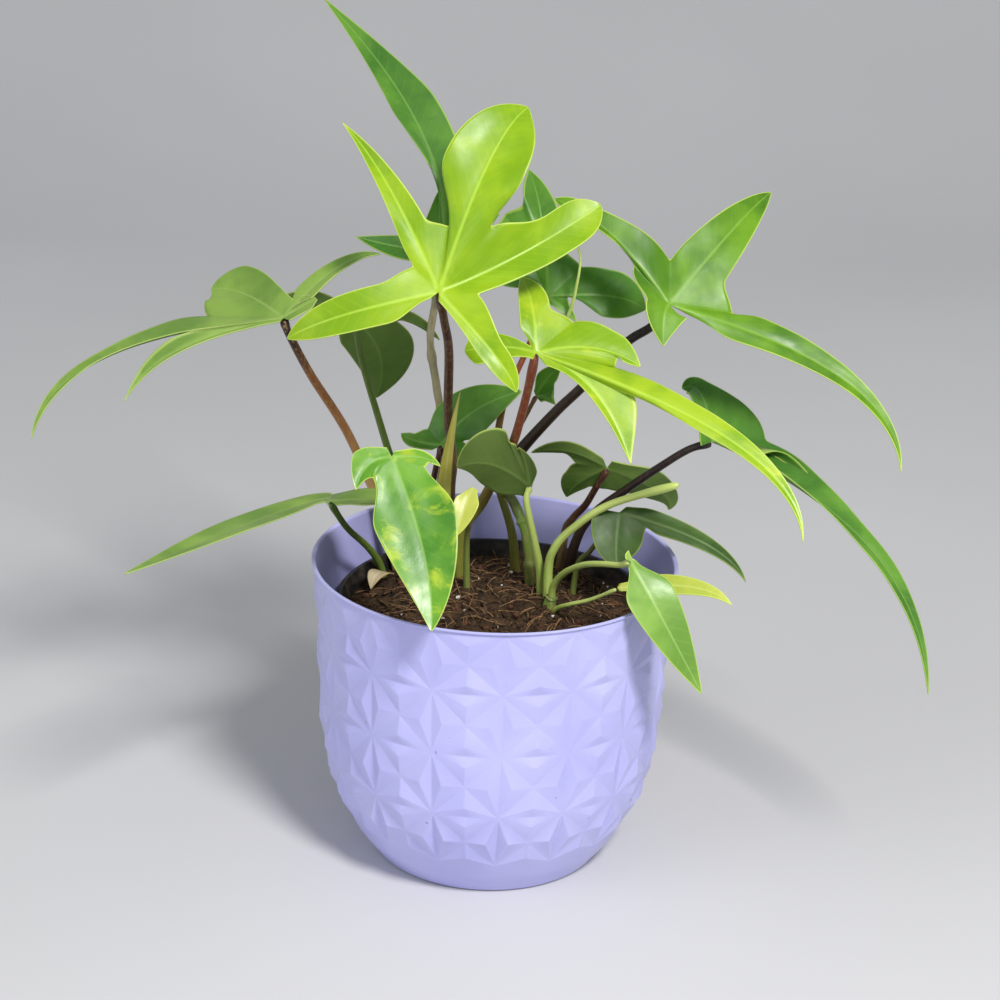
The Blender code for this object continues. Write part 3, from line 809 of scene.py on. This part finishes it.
def lobe_width(share, neck, half, full, squareness):
    """Half width of a lobe: it grows smoothly from the neck, is widest at full, then closes to the tip."""
    if share < full:
        rise = share / full
        return neck + (half - neck) * rise * rise * (3 - 2 * rise)
    return half * (1 - ((share - full) / (1 - full)) ** squareness)


def ripple(share, across, width, length, seed):
    """Millimetres that the sheet rises: grooved rib, puffed strips between side veins, and a waved margin."""
    rib = abs(across) * width
    groove = -RIB_GROOVE * math.exp(-((rib / GROOVE_REACH) ** 2)) * (1 - share) ** 0.5
    vein_place = (share * length - rib * VEIN_SLANT) / VEIN_GAP
    fade = min(1.0, rib / 3.0) * (1 - abs(across) ** 4) * min(1.0, width / 6.0)
    puff = VEIN_RISE * abs(math.sin(math.pi * vein_place)) * fade
    wave = noise.noise(Vector((share * length / WAVE_LENGTH, across * 0.9, seed))) * WAVE_RISE * rib
    return groove + puff + wave


def make_lobe(hub, face, right_bay, left_bay, lobe, seed):
    """A grid laid along one midrib. Its first row is pulled out to the bays, and that pull fades away."""
    tip, bend, half, full, squareness = lobe
    tip, bend = Vector(tip), Vector(bend)
    control = 2 * bend - (hub + tip) / 2
    length = (hub - bend).length + (bend - tip).length

    def stand(share):
        point = hub * (1 - share) ** 2 + control * 2 * share * (1 - share) + tip * share**2
        along = ((control - hub) * (1 - share) + (tip - control) * share).normalized()
        out = (face - along * face.dot(along)).normalized()
        return point, out, out.cross(along)

    _, _, side = stand(0.0)
    right_neck = max(NARROWEST_NECK, -(right_bay - hub).dot(side))
    left_neck = max(NARROWEST_NECK, (left_bay - hub).dot(side))
    deepest = max((right_bay - hub).length, (left_bay - hub).length)
    fade = min(FASTEST_FADE, max(SLOWEST_FADE, 1.2 * (control - hub).length / deepest))
    fresh_start()
    bpy.ops.mesh.primitive_grid_add(x_subdivisions=LOBE_COLUMNS, y_subdivisions=LOBE_ROWS, size=2.0)
    sheet = bpy.context.object
    place = []
    for vert in sheet.data.vertices:
        across = -vert.co.x
        share = (vert.co.y + 1) / 2
        bay, neck = (right_bay, right_neck) if across < 0 else (left_bay, left_neck)
        point, out, across_way = stand(share)
        width = lobe_width(share, neck, half, full, squareness)
        lift = CUP * width * across**2 * min(1.0, 3 * share)
        lift += ripple(share, across, width, length, seed) * min(1.0, 6 * share) * (1 - share**8)
        shift = (bay - hub) * abs(across) - side * neck * across
        vert.co = (point + across_way * width * across + out * lift + shift * (1 - share) ** fade) * MM
        place.append((across * width, share * length, (1 - abs(across)) * width, share))
    mark_sheet(sheet, place)
    return sheet


def mark_sheet(sheet, place):
    """Stores millimetres across and along the rib in one map, and from the edge in another."""
    rib_map = sheet.data.uv_layers[0]
    rib_map.name = "rib"
    edge_map = sheet.data.uv_layers.new(name="edge")
    for loop in sheet.data.loops:
        from_rib, along, from_edge, share = place[loop.vertex_index]
        rib_map.data[loop.index].uv = (from_rib, along)
        edge_map.data[loop.index].uv = (from_edge, share)


# %% [markdown]
# ### From lobes to a blade
# The lobes are joined and welded along their shared first rows. One level of subdivision rounds the sheet,
# and Solidify gives it a blade's thickness, with the second finish on the underside.

# %% One blade
BLADE_THICKNESS = 0.45
SEED_PER_LOBE = 3.7
SEED_PER_LEAF = 11.0


def make_blade(name, leaf, finishes, seed):
    hub = Vector(leaf["hub"])
    face = Vector(leaf["face"]).normalized()
    bays = [Vector(bay) for bay in leaf["bays"]]
    lobes = [
        make_lobe(hub, face, right_bay, left_bay, lobe, seed + k * SEED_PER_LOBE)
        for k, (right_bay, left_bay, lobe) in enumerate(zip(bays, bays[1:], leaf["lobes"]))
    ]
    blade = join_pieces(lobes, name)
    merge_doubles(blade)
    smooth = blade.modifiers.new("smooth", "SUBSURF")
    smooth.levels = 1
    smooth.render_levels = 1
    thick = blade.modifiers.new("thickness", "SOLIDIFY")
    thick.thickness = BLADE_THICKNESS * MM
    thick.offset = 0.0
    thick.material_offset = 1
    blade.data.materials.clear()
    for finish in finishes:
        blade.data.materials.append(finish)
    apply_modifiers(blade)
    bpy.ops.object.shade_smooth()
    return blade


# %% [markdown]
# ### Leaf finish
# A fresh leaf is waxy and thin. Its colour drifts in soft patches, the midrib is pale, the side veins are a
# little lighter than the strips between them, and a fine pale yellow line round the margin is a painted
# highlight, for the light that the leaf edges catch. The two maps carried by the blade give millimetres from
# the rib and from the edge, so the lines keep their real width on every lobe. The underside is paler and
# duller. Ten pairs of colours cover the plant, from the newest lime leaf to the oldest.

# %% Leaf finish
def leaf_finish(name, deep, fresh, rib, margin, gloss=0.31, spots=None, spot_reach=0.62):
    finish, tree, shader = start_finish(name, gloss, 0.28)
    place = object_place(tree)
    across, along, _ = map_place(tree, "rib").outputs
    from_rib = sums(tree, "ABSOLUTE", across)
    from_edge, share, _ = map_place(tree, "edge").outputs
    patches = step(tree, grain(tree, place, 38.0, 3.0, 0.55, 0.4), 0.34, 0.66)
    colour = mix(tree, patches, deep, fresh)
    veins = sums(tree, "SUBTRACT", along, sums(tree, "MULTIPLY", from_rib, VEIN_SLANT))
    veins = sums(tree, "ABSOLUTE", sums(tree, "SINE", sums(tree, "MULTIPLY", veins, math.pi / VEIN_GAP)))
    vein_strength = step(tree, from_rib, 12.0, 1.0, 0.02, 0.12)
    colour = mix(tree, sums(tree, "MULTIPLY", step(tree, veins, 0.34, 0.0), vein_strength), colour, rib)
    fine = sums(tree, "MULTIPLY", grain(tree, place, 420.0, 4.0, 0.6), 0.22)
    colour = mix(tree, sums(tree, "SUBTRACT", fine, 0.06), colour, deep)
    if spots:
        blot = step(tree, grain(tree, place, 70.0, 4.0, 0.6, 0.8), spot_reach, spot_reach + 0.16, 0.0, 0.8)
        colour = mix(tree, blot, colour, spots)
    rib_width = sums(tree, "MULTIPLY_ADD", share, -0.75, 1.0)
    near_rib = sums(tree, "DIVIDE", from_rib, rib_width)
    colour = mix(tree, step(tree, near_rib, 1.15, 0.25, 0.0, 0.52), colour, rib)
    # The line along the margin: on the leaves a pale painted highlight for the light that the edges catch, on
    # the sheaths a browner dry edge.
    colour = mix(tree, step(tree, from_edge, 0.50, 0.10, 0.0, 0.70), colour, margin)
    tree.links.new(colour, shader.inputs["Base Color"])
    wax = step(tree, grain(tree, place, 90.0, 3.0), 0.3, 0.7, gloss - 0.05, gloss + 0.12)
    tree.links.new(wax, shader.inputs["Roughness"])
    let_light_in(shader, 0.22, (0.5, 1.0, 0.15), 0.003)
    raise_skin(tree, shader, grain(tree, place, 1400.0, 2.0), 0.12, 0.0002)
    return finish


def leaf_pair(name, deep, fresh, rib, margin, under, **more):
    """A top finish and its paler underside."""
    pale = tuple(0.5 * (a + b) for a, b in zip(under, rib))
    top = leaf_finish(name, deep, fresh, rib, margin, **more)
    back = leaf_finish(name + " underside", tuple(0.78 * c for c in under), under, pale, margin, gloss=0.55)
    return top, back


# %% Every leaf
LIME_RIB = (0.46, 0.68, 0.07)
# Colour of the painted highlight along the leaf margins.
MARGIN_HIGHLIGHT = (0.62, 0.78, 0.16)
LEAF_FINISHES = {
    "lime": leaf_pair("lime leaf", (0.18, 0.33, 0.006), (0.30, 0.46, 0.010), LIME_RIB, MARGIN_HIGHLIGHT,
                      (0.26, 0.44, 0.06), gloss=0.36),
    "gold": leaf_pair("gold leaf", (0.19, 0.35, 0.010), (0.34, 0.49, 0.018), LIME_RIB, MARGIN_HIGHLIGHT,
                      (0.26, 0.42, 0.06), spots=(0.56, 0.62, 0.04), spot_reach=0.60),
    "bright": leaf_pair("bright leaf", (0.060, 0.165, 0.008), (0.14, 0.30, 0.012), (0.22, 0.40, 0.05),
                        MARGIN_HIGHLIGHT, (0.18, 0.30, 0.07), gloss=0.38),
    "muted": leaf_pair("muted leaf", (0.125, 0.225, 0.040), (0.22, 0.34, 0.065), (0.28, 0.40, 0.11),
                       (0.42, 0.54, 0.16), (0.14, 0.23, 0.050), gloss=0.42),
    "fresh": leaf_pair("fresh leaf", (0.060, 0.20, 0.018), (0.16, 0.36, 0.030), (0.28, 0.50, 0.12), MARGIN_HIGHLIGHT,
                       (0.18, 0.32, 0.08), gloss=0.26, spots=(0.42, 0.54, 0.04), spot_reach=0.49),
    "pale": leaf_pair("pale leaf", (0.14, 0.28, 0.045), (0.25, 0.43, 0.08), (0.36, 0.54, 0.15), MARGIN_HIGHLIGHT,
                      (0.22, 0.36, 0.08), gloss=0.32),
    "yellow": leaf_pair("yellow leaf", (0.38, 0.46, 0.06), (0.52, 0.57, 0.10), (0.58, 0.66, 0.20), MARGIN_HIGHLIGHT,
                        (0.42, 0.50, 0.10)),
    "olive": leaf_pair("olive leaf", (0.085, 0.20, 0.020), (0.15, 0.31, 0.035), (0.28, 0.44, 0.12),
                       (0.42, 0.52, 0.12), (0.14, 0.21, 0.050)),
    "dark": leaf_pair("dark leaf", (0.050, 0.150, 0.018), (0.115, 0.265, 0.030), (0.20, 0.36, 0.08),
                      (0.38, 0.52, 0.10), (0.12, 0.20, 0.055)),
    "scarred": leaf_pair("scarred leaf", (0.024, 0.060, 0.008), (0.055, 0.115, 0.016), (0.14, 0.22, 0.06),
                         (0.34, 0.44, 0.10), (0.08, 0.14, 0.04), gloss=0.45, spots=(0.12, 0.07, 0.03),
                         spot_reach=0.60),
}
for seed, (name, leaf) in enumerate(LEAVES.items()):
    blade = make_blade("leaf_" + name, leaf, LEAF_FINISHES[leaf["look"]], SEED_PER_LEAF * seed)
    finish_piece(blade, leaf["slot"], "blade_" + name)


# %% [markdown]
# ## Petioles and canes
# A petiole is a smooth round stalk with a slight swelling where it turns into the blade and a wider foot
# where it leaves the cane. A bevelled curve gives one thickness law only, so each stem is a grid rolled
# round its path: columns go round it and rows go along. The rolled grid already carries a map with the way
# along in it, which the finish uses to shade a stalk from foot to tip. Each stem is its look, its radius at
# either end and the points that it passes through.

# %% Stem paths, in millimetres
STEMS = {
    "cane_middle": ("cane", 2.6, 2.2, (
        (16, 26, 88), (15, 25, 106), (13, 27, 126), (8, 32, 137), (3, 38, 144),
    )),
    "cane_back": ("pale", 1.9, 1.6, (
        (-24, 48, 88), (-24, 50, 130), (-25, 48, 169), (-27, 46, 185), (-30, 46, 205), (-28, 45, 224),
        (-27, 44, 248), (-26, 44, 259),
    )),
    "plantlet_base": ("cane", 3.6, 2.6, ((22, 1, 92), (23, 0, 106), (24, -1, 113))),
    "petiole_front_lime": ("brown", 2.5, 1.6, (
        (-19, 41, 92), (-20, 34, 140), (-19, 24, 160), (-21, 10, 185), (-21, -7, 217), (-23, -18, 234),
        (-25, -26, 245),
    )),
    "petiole_right_upper": ("black", 2.6, 1.7, (
        (2, 40, 149), (10, 38, 162), (23, 33, 180), (33, 27, 193), (49, 15, 216), (59, 8, 226),
        (65, 4, 234),
    )),
    "petiole_centre_gold": ("red", 2.8, 1.6, (
        (-15, 33, 92), (-15, 30, 124), (-6, 26, 142), (2, 16, 164), (6, 8, 176), (10, -6, 199),
        (13, -19, 219),
    )),
    "petiole_back_dark": ("red", 2.0, 1.2, (
        (9, 41, 92), (7, 42, 120), (-1, 46, 147), (0, 46, 171), (4, 44, 187), (10, 42, 203), (18, 39, 225),
    )),
    "petiole_right_arching": ("black", 2.2, 1.5, (
        (29, 36, 92), (33, 34, 120), (40, 30, 136), (53, 24, 150), (65, 18, 162), (77, 12, 173),
        (85, 9, 175),
    )),
    "petiole_left_arching": ("tan", 2.4, 1.6, (
        (-38, 39, 92), (-47, 42, 126), (-54, 44, 142), (-64, 36, 168), (-77, 18, 197), (-85, 6, 218),
        (-87, 2, 223),
    )),
    "petiole_left_hanging": ("moss", 1.9, 1.2, (
        (-34, 45, 92), (-42, 50, 140), (-46, 48, 153), (-52, 45, 174), (-58, 40, 197), (-60, 37, 209),
        (-62, 39, 213),
    )),
    "petiole_left_low": ("moss", 1.8, 1.3, (
        (-44, 32, 92), (-48, 32, 108), (-53, 24, 120), (-61, 6, 136), (-66, -7, 150),
    )),
    "petiole_mid_dark": ("brown", 1.7, 1.2, (
        (-28, 34, 92), (-28, 38, 130), (-27, 39, 146), (-25, 37, 160),
    )),
    "petiole_mid_under": ("green", 2.2, 1.2, (
        (20, 17, 92), (19, 14, 114), (16, 12, 130), (12, 11, 148), (12, 11, 155),
    )),
    "petiole_mid_yellow": ("olive", 1.5, 1.0, ((-11, 20, 92), (-12, 14, 127), (-11, 8, 140), (-9, 3, 155))),
    "petiole_right_under": ("brown", 1.9, 1.4, (
        (27, 46, 92), (29, 44, 121), (32, 40, 130), (37, 36, 138), (41, 31, 148), (44, 27, 156),
    )),
    "petiole_right_dark": ("olive", 1.3, 1.0, (
        (32, 18, 92), (34, 16, 118), (39, 14, 126), (44, 12, 135), (49, 10, 144),
    )),
    "petiole_front_drooping": ("green", 1.5, 1.2, (
        (24, 0, 106), (24, -2, 116), (28, -8, 125), (35, -18, 133), (42, -28, 138), (49, -38, 142),
        (52, -42, 144),
    )),
    "petiole_right_low": ("green", 1.2, 0.8, (
        (24, -3, 104), (26, -7, 109), (31, -14, 114), (39, -20, 119), (48, -25, 125),
    )),
    "petiole_centre_small": ("olive", 1.2, 0.9, ((4, 17, 166), (6, 22, 172), (10, 10, 185), (14, -1, 196))),
    "petiole_tall_back": ("olive", 1.6, 1.3, ((-27, 42, 223), (-26, 34, 236), (-26, 25, 247))),
    "petiole_front_hanging": ("olive", 1.9, 1.3, (
        (-20, 22, 92), (-26, 8, 130), (-35, -20, 165), (-40, -41, 184),
    )),
    "petiole_cut": ("green", 2.0, 1.6, (
        (23, 9, 92), (22, 9, 118), (24, 8, 129), (31, 8, 138), (46, 4, 151), (73, -2, 163),
    )),
    "spear_new_leaf": ("green", 1.0, 0.4, (
        (13, 38, 206), (22, 34, 213), (27, 30, 225), (29, 28, 236), (30, 27, 246), (29, 27, 252),
    )),
}
print(len(STEMS), "stems")

# %% Rolling a stem
STEM_COLUMNS = 14
STEM_ROWS = 70
LOOK_AHEAD = 0.01
BEHIND_BLADE = 1.0
SHORTEST_SPAN = 6.0


def through(points, share):
    """A point along a smooth path through listed points."""
    span = share * (len(points) - 1)
    k = min(int(span), len(points) - 2)
    t = span - k
    before = points[max(k - 1, 0)]
    after = points[min(k + 2, len(points) - 1)]
    start, end = points[k], points[k + 1]
    leave = (end - before) * 0.5
    arrive = (after - start) * 0.5
    return (
        start * (2 * t**3 - 3 * t**2 + 1)
        + leave * (t**3 - 2 * t**2 + t)
        + end * (3 * t**2 - 2 * t**3)
        + arrive * (t**3 - t**2)
    )


def reach_blade(points, leaf):
    """The last points of a petiole, led on to just behind the middle of its blade."""
    behind = Vector(leaf["hub"]) - Vector(leaf["face"]).normalized() * BEHIND_BLADE
    last = Vector(points[-1])
    return (last, behind) if (behind - last).length > SHORTEST_SPAN else (behind,)


def roll_stem(name, points, radius_at):
    path = [Vector(p) for p in points]
    fresh_start()
    bpy.ops.mesh.primitive_grid_add(x_subdivisions=STEM_COLUMNS, y_subdivisions=STEM_ROWS, size=2.0)
    stem = bpy.context.object
    stem.name = name
    reference = Vector((0.25, 1.0, 0.1))
    for vert in stem.data.vertices:
        turn = vert.co.x * math.pi
        share = (vert.co.y + 1) / 2
        ahead = through(path, min(1.0, share + LOOK_AHEAD)) - through(path, max(0.0, share - LOOK_AHEAD))
        ahead.normalize()
        first = (reference - ahead * reference.dot(ahead)).normalized()
        second = ahead.cross(first)
        reach = radius_at(share, turn)
        vert.co = (through(path, share) + (first * math.cos(turn) + second * math.sin(turn)) * reach) * MM
    stem.data.uv_layers[0].name = "along"
    merge_doubles(stem, 0.000002)
    bpy.ops.object.mode_set(mode="EDIT")
    bpy.ops.mesh.select_all(action="SELECT")
    bpy.ops.mesh.fill_holes(sides=STEM_COLUMNS)
    bpy.ops.mesh.normals_make_consistent(inside=False)
    bpy.ops.object.mode_set(mode="OBJECT")
    bpy.ops.object.shade_smooth_by_angle(angle=math.radians(50.0))
    return stem


# %% How thick a stem is along its way
def round_end(share, length):
    """Shrinks the last share of a stem to a dome."""
    past = max(0.0, (share - (1 - length)) / length)
    return math.sqrt(max(0.0, 1 - 0.97 * past**2))


def petiole_radius(root, tip, seed):
    """Thickness along a petiole: wide foot, even stalk, swelling at the blade and a channel on one side."""

    def reach(share, turn):
        even = root + (tip - root) * share
        foot = 0.35 * root * math.exp(-((share / 0.16) ** 2))
        knee = 0.20 * tip * math.exp(-(((share - 0.93) / 0.04) ** 2))
        channel = -0.10 * even * math.exp(-((turn / 0.5) ** 2))
        rough = 0.05 * noise.noise(Vector((share * 9.0, turn * 0.5, seed)))
        return (even * 0.94 + foot * 0.6 + knee + channel + rough) * round_end(share, 0.03)

    return reach


def cane_radius(root, tip, joints, seed):
    """Thickness along a cane: a thin raised ring at each old leaf's scar."""

    def reach(share, turn):
        even = root + (tip - root) * share
        rings = sum(0.28 * even * math.exp(-(((share - joint) / 0.012) ** 2)) for joint in joints)
        waist = sum(-0.10 * even * math.exp(-(((share - joint - 0.04) / 0.02) ** 2)) for joint in joints)
        rough = 0.10 * noise.noise(Vector((share * 14.0, math.cos(turn), seed + math.sin(turn))))
        return (even * 0.95 + rings + waist + rough) * round_end(share, 0.05)

    return reach


def crown_radius(root, tip, joints, seed):
    """Thickness of a plantlet's crown: a swollen foot and old scars, closing to a blunt point."""
    cane = cane_radius(root, tip, joints, seed)

    def reach(share, turn):
        lump = 1 + 0.12 * math.sin(3 * turn + 5 * share)
        return cane(share, turn) * lump * math.sqrt(max(0.02, 1 - share**4))

    return reach


# %% [markdown]
# ### Stem finish
# Each stalk shades from foot to tip through three colours, flecked along its length. A flat colour would
# look like plastic, so the shading follows the rolled map and the flecks are stretched noise.

# %% Stem finish
def stem_finish(name, foot, middle, tip, speckle, speckle_share=0.35, gloss=0.42):
    finish, tree, shader = start_finish(name, gloss, 0.4)
    place = object_place(tree)
    way = map_place(tree, "along").outputs[1]
    along = sums(tree, "MULTIPLY_ADD", grain(tree, place, 45.0, 3.0), 0.22, way)
    lower = mix(tree, step(tree, along, 0.32, 0.70), foot, middle)
    colour = mix(tree, step(tree, along, 0.66, 0.90), lower, tip)
    streaks = node(tree, "ShaderNodeMapping", {0: place, 3: (900.0, 900.0, 160.0)})
    flecks = step(tree, grain(tree, streaks, 1.0, 3.0, 0.7), 0.50, 0.62)
    colour = mix(tree, sums(tree, "MULTIPLY", flecks, speckle_share), colour, speckle)
    tree.links.new(colour, shader.inputs["Base Color"])
    let_light_in(shader, 0.12, (0.8, 0.9, 0.2), 0.002)
    raise_skin(tree, shader, grain(tree, streaks, 0.7, 3.0), 0.25, 0.0003)
    return finish


# %% Every stem
STEM_FINISHES = {
    "brown": stem_finish("brown petiole", (0.20, 0.13, 0.055), (0.085, 0.032, 0.018), (0.070, 0.022, 0.014),
                         (0.30, 0.22, 0.10)),
    "black": stem_finish("black petiole", (0.045, 0.026, 0.016), (0.020, 0.012, 0.010), (0.018, 0.010, 0.010),
                         (0.10, 0.06, 0.04), 0.25),
    "tan": stem_finish("tan petiole", (0.52, 0.36, 0.13), (0.36, 0.14, 0.050), (0.022, 0.010, 0.009),
                       (0.60, 0.40, 0.16)),
    "red": stem_finish("red petiole", (0.21, 0.22, 0.035), (0.24, 0.085, 0.030), (0.26, 0.060, 0.030),
                       (0.36, 0.26, 0.09)),
    "green": stem_finish("green petiole", (0.40, 0.52, 0.11), (0.50, 0.62, 0.16), (0.55, 0.66, 0.18),
                         (0.62, 0.68, 0.32), 0.2),
    "olive": stem_finish("olive petiole", (0.20, 0.26, 0.055), (0.15, 0.15, 0.045), (0.16, 0.085, 0.040),
                         (0.30, 0.28, 0.10)),
    "moss": stem_finish("moss green petiole", (0.16, 0.24, 0.040), (0.13, 0.22, 0.032), (0.10, 0.17, 0.030),
                        (0.26, 0.32, 0.09)),
    "cane": stem_finish("green cane", (0.16, 0.17, 0.045), (0.20, 0.33, 0.050), (0.14, 0.20, 0.05),
                        (0.42, 0.30, 0.14), 0.5),
    "pale": stem_finish("pale cane", (0.40, 0.33, 0.17), (0.46, 0.42, 0.26), (0.33, 0.29, 0.20),
                        (0.24, 0.15, 0.08), 0.5, 0.6),
}
OTHER_SLOTS = {"moss": "petiole_olive", "cane": "cane_green", "pale": "cane_pale"}
CANE_JOINTS = {
    "cane_middle": (0.35, 0.62, 0.9),
    "plantlet_base": (0.45, 0.8),
    "cane_back": (0.3, 0.52, 0.72, 0.93),
}
for seed, (name, (look, root, tip, points)) in enumerate(STEMS.items()):
    if name == "plantlet_base":
        thickness = crown_radius(root, tip, CANE_JOINTS[name], float(seed))
    elif name in CANE_JOINTS:
        thickness = cane_radius(root, tip, CANE_JOINTS[name], float(seed))
    else:
        thickness = petiole_radius(root, tip, float(seed))
    leaf = LEAVES.get(name.removeprefix("petiole_"))
    if leaf:
        points = (*points[:-1], *reach_blade(points, leaf))
    stem = roll_stem("stem_" + name, points, thickness)
    stem.data.materials.append(STEM_FINISHES[look])
    finish_piece(stem, OTHER_SLOTS.get(look, "petiole_" + look), name)


# %% [markdown]
# ### Sheaths
# Each new leaf comes out of a thin wrapper that yellows, dries and drops. One still stands by the front
# petiole, another lies on the mix. Each is a blade with a single narrow lobe, made by the leaves' helper.

# %% Sheaths
SHEATHS = {
    "old_sheath": dict(
        slot="yellow_tissue", hub=(-21, 27, 107), face=(0.0, -0.9, 0.3),
        bays=((-18, 27, 107), (-24, 27, 107)),
        lobes=(((-16, 2, 199), (-22, 18, 150), 3, 0.4, 1.5),),
    ),
    "dry_sheath": dict(
        slot="dry_tissue", hub=(-45, 24, 109), face=(-0.2, -0.5, 0.85),
        bays=((-48, 25, 109), (-42, 23, 109)),
        lobes=(((-51, 8, 108), (-49, 17, 111), 4, 0.4, 1.6),),
    ),
}
SHEATH_FINISHES = {
    "old_sheath": leaf_pair("yellow sheath", (0.46, 0.42, 0.06), (0.62, 0.58, 0.14), (0.66, 0.64, 0.22),
                            (0.50, 0.40, 0.14), (0.56, 0.52, 0.14), gloss=0.5),
    "dry_sheath": leaf_pair("dry sheath", (0.50, 0.40, 0.22), (0.72, 0.64, 0.44), (0.76, 0.70, 0.50),
                            (0.45, 0.33, 0.16), (0.60, 0.50, 0.32), gloss=0.6),
}
for name, leaf in SHEATHS.items():
    sheath = make_blade("wrapper_" + name, leaf, SHEATH_FINISHES[name], 5.0)
    finish_piece(sheath, leaf["slot"], name)


# %% [markdown]
# ## Floor, light and camera
# A pale floor sweeps up into a wall far behind. A soft lamp stands high to the right and front, a larger
# and weaker one fills from the left, and a low grey sky keeps shadows open. The camera stands a metre off
# and looks slightly down, leaning two degrees.

# %% Floor, in metres
FLOOR_SIZE = 8.0
WALL_HEIGHT = 5.0
WALL_BACK = 1.6
BELOW_POT = 0.0004
SWEEP_WIDTH = 0.7


def make_floor():
    fresh_start()
    bpy.ops.mesh.primitive_plane_add(size=FLOOR_SIZE, location=(0.0, 0.0, 0.0))
    floor = bpy.context.object
    floor.name = "studio_floor"
    bpy.ops.object.mode_set(mode="EDIT")
    bm = bmesh.from_edit_mesh(floor.data)
    for edge in bm.edges:
        edge.select = all(v.co.y > 0 for v in edge.verts)
    bmesh.update_edit_mesh(floor.data)
    bpy.ops.mesh.extrude_edges_move(TRANSFORM_OT_translate={"value": (0.0, 0.0, WALL_HEIGHT)})
    bpy.ops.object.mode_set(mode="OBJECT")
    for vert in floor.data.vertices:
        if vert.co.y > 0:
            vert.co.y = WALL_BACK
        vert.co.z -= BELOW_POT
    sweep = floor.modifiers.new("sweep", "BEVEL")
    sweep.width = SWEEP_WIDTH
    sweep.segments = 16
    sweep.affect = "EDGES"
    sweep.limit_method = "ANGLE"
    apply_modifiers(floor)
    bpy.ops.object.shade_smooth()
    finish, tree, shader = start_finish("studio paper", 0.8, 0.2)
    paper = step(tree, grain(tree, object_place(tree), 1.5, 3.0), 0.3, 0.7)
    tree.links.new(mix(tree, paper, (0.57, 0.57, 0.58), (0.62, 0.62, 0.63)), shader.inputs["Base Color"])
    floor.data.materials.append(finish)


make_floor()
print("floor", FLOOR_SIZE, "m wide, wall", WALL_BACK, "m behind")


# %% Lamps
LIT_POINT = Vector((0.0, 0.0, 0.15))


def soft_lamp(name, place, size, power, colour):
    lamp = bpy.data.lights.new(name, "AREA")
    lamp.shape = "DISK"
    lamp.size = size
    lamp.energy = power
    lamp.color = colour
    holder = bpy.data.objects.new(name, lamp)
    bpy.context.scene.collection.objects.link(holder)
    holder.location = place
    holder.rotation_euler = (LIT_POINT - Vector(place)).to_track_quat("-Z", "Y").to_euler()
    print(name, power, "W")


soft_lamp("key lamp", (0.50, -1.0, 1.35), 0.36, 27.0, (1.0, 0.985, 0.96))
soft_lamp("fill lamp", (-1.3, -0.9, 0.8), 1.2, 6.0, (0.94, 0.97, 1.0))
world = bpy.data.worlds.new("soft sky")
bpy.context.scene.world = world
world.use_nodes = True
sky = world.node_tree.nodes["Background"].inputs
sky["Color"].default_value = (0.93, 0.96, 1.0, 1.0)
sky["Strength"].default_value = 0.42


# %% Camera
CAMERA_PLACE = (0.00112, -1.01427, 0.54824)
TILT = math.radians(21.3)
LEAN = math.radians(2.0)
camera_data = bpy.data.cameras.new("camera")
camera_data.lens = 96.9
camera_data.sensor_width = 36.0
camera_data.clip_start = 0.02
camera = bpy.data.objects.new("camera", camera_data)
bpy.context.scene.collection.objects.link(camera)
camera.matrix_world = (
    Matrix.Translation(CAMERA_PLACE)
    @ Matrix.Rotation(math.pi / 2 - TILT, 4, "X")
    @ Matrix.Rotation(LEAN, 4, "Z")
)
bpy.context.scene.camera = camera
bpy.context.scene.view_settings.view_transform = "Standard"
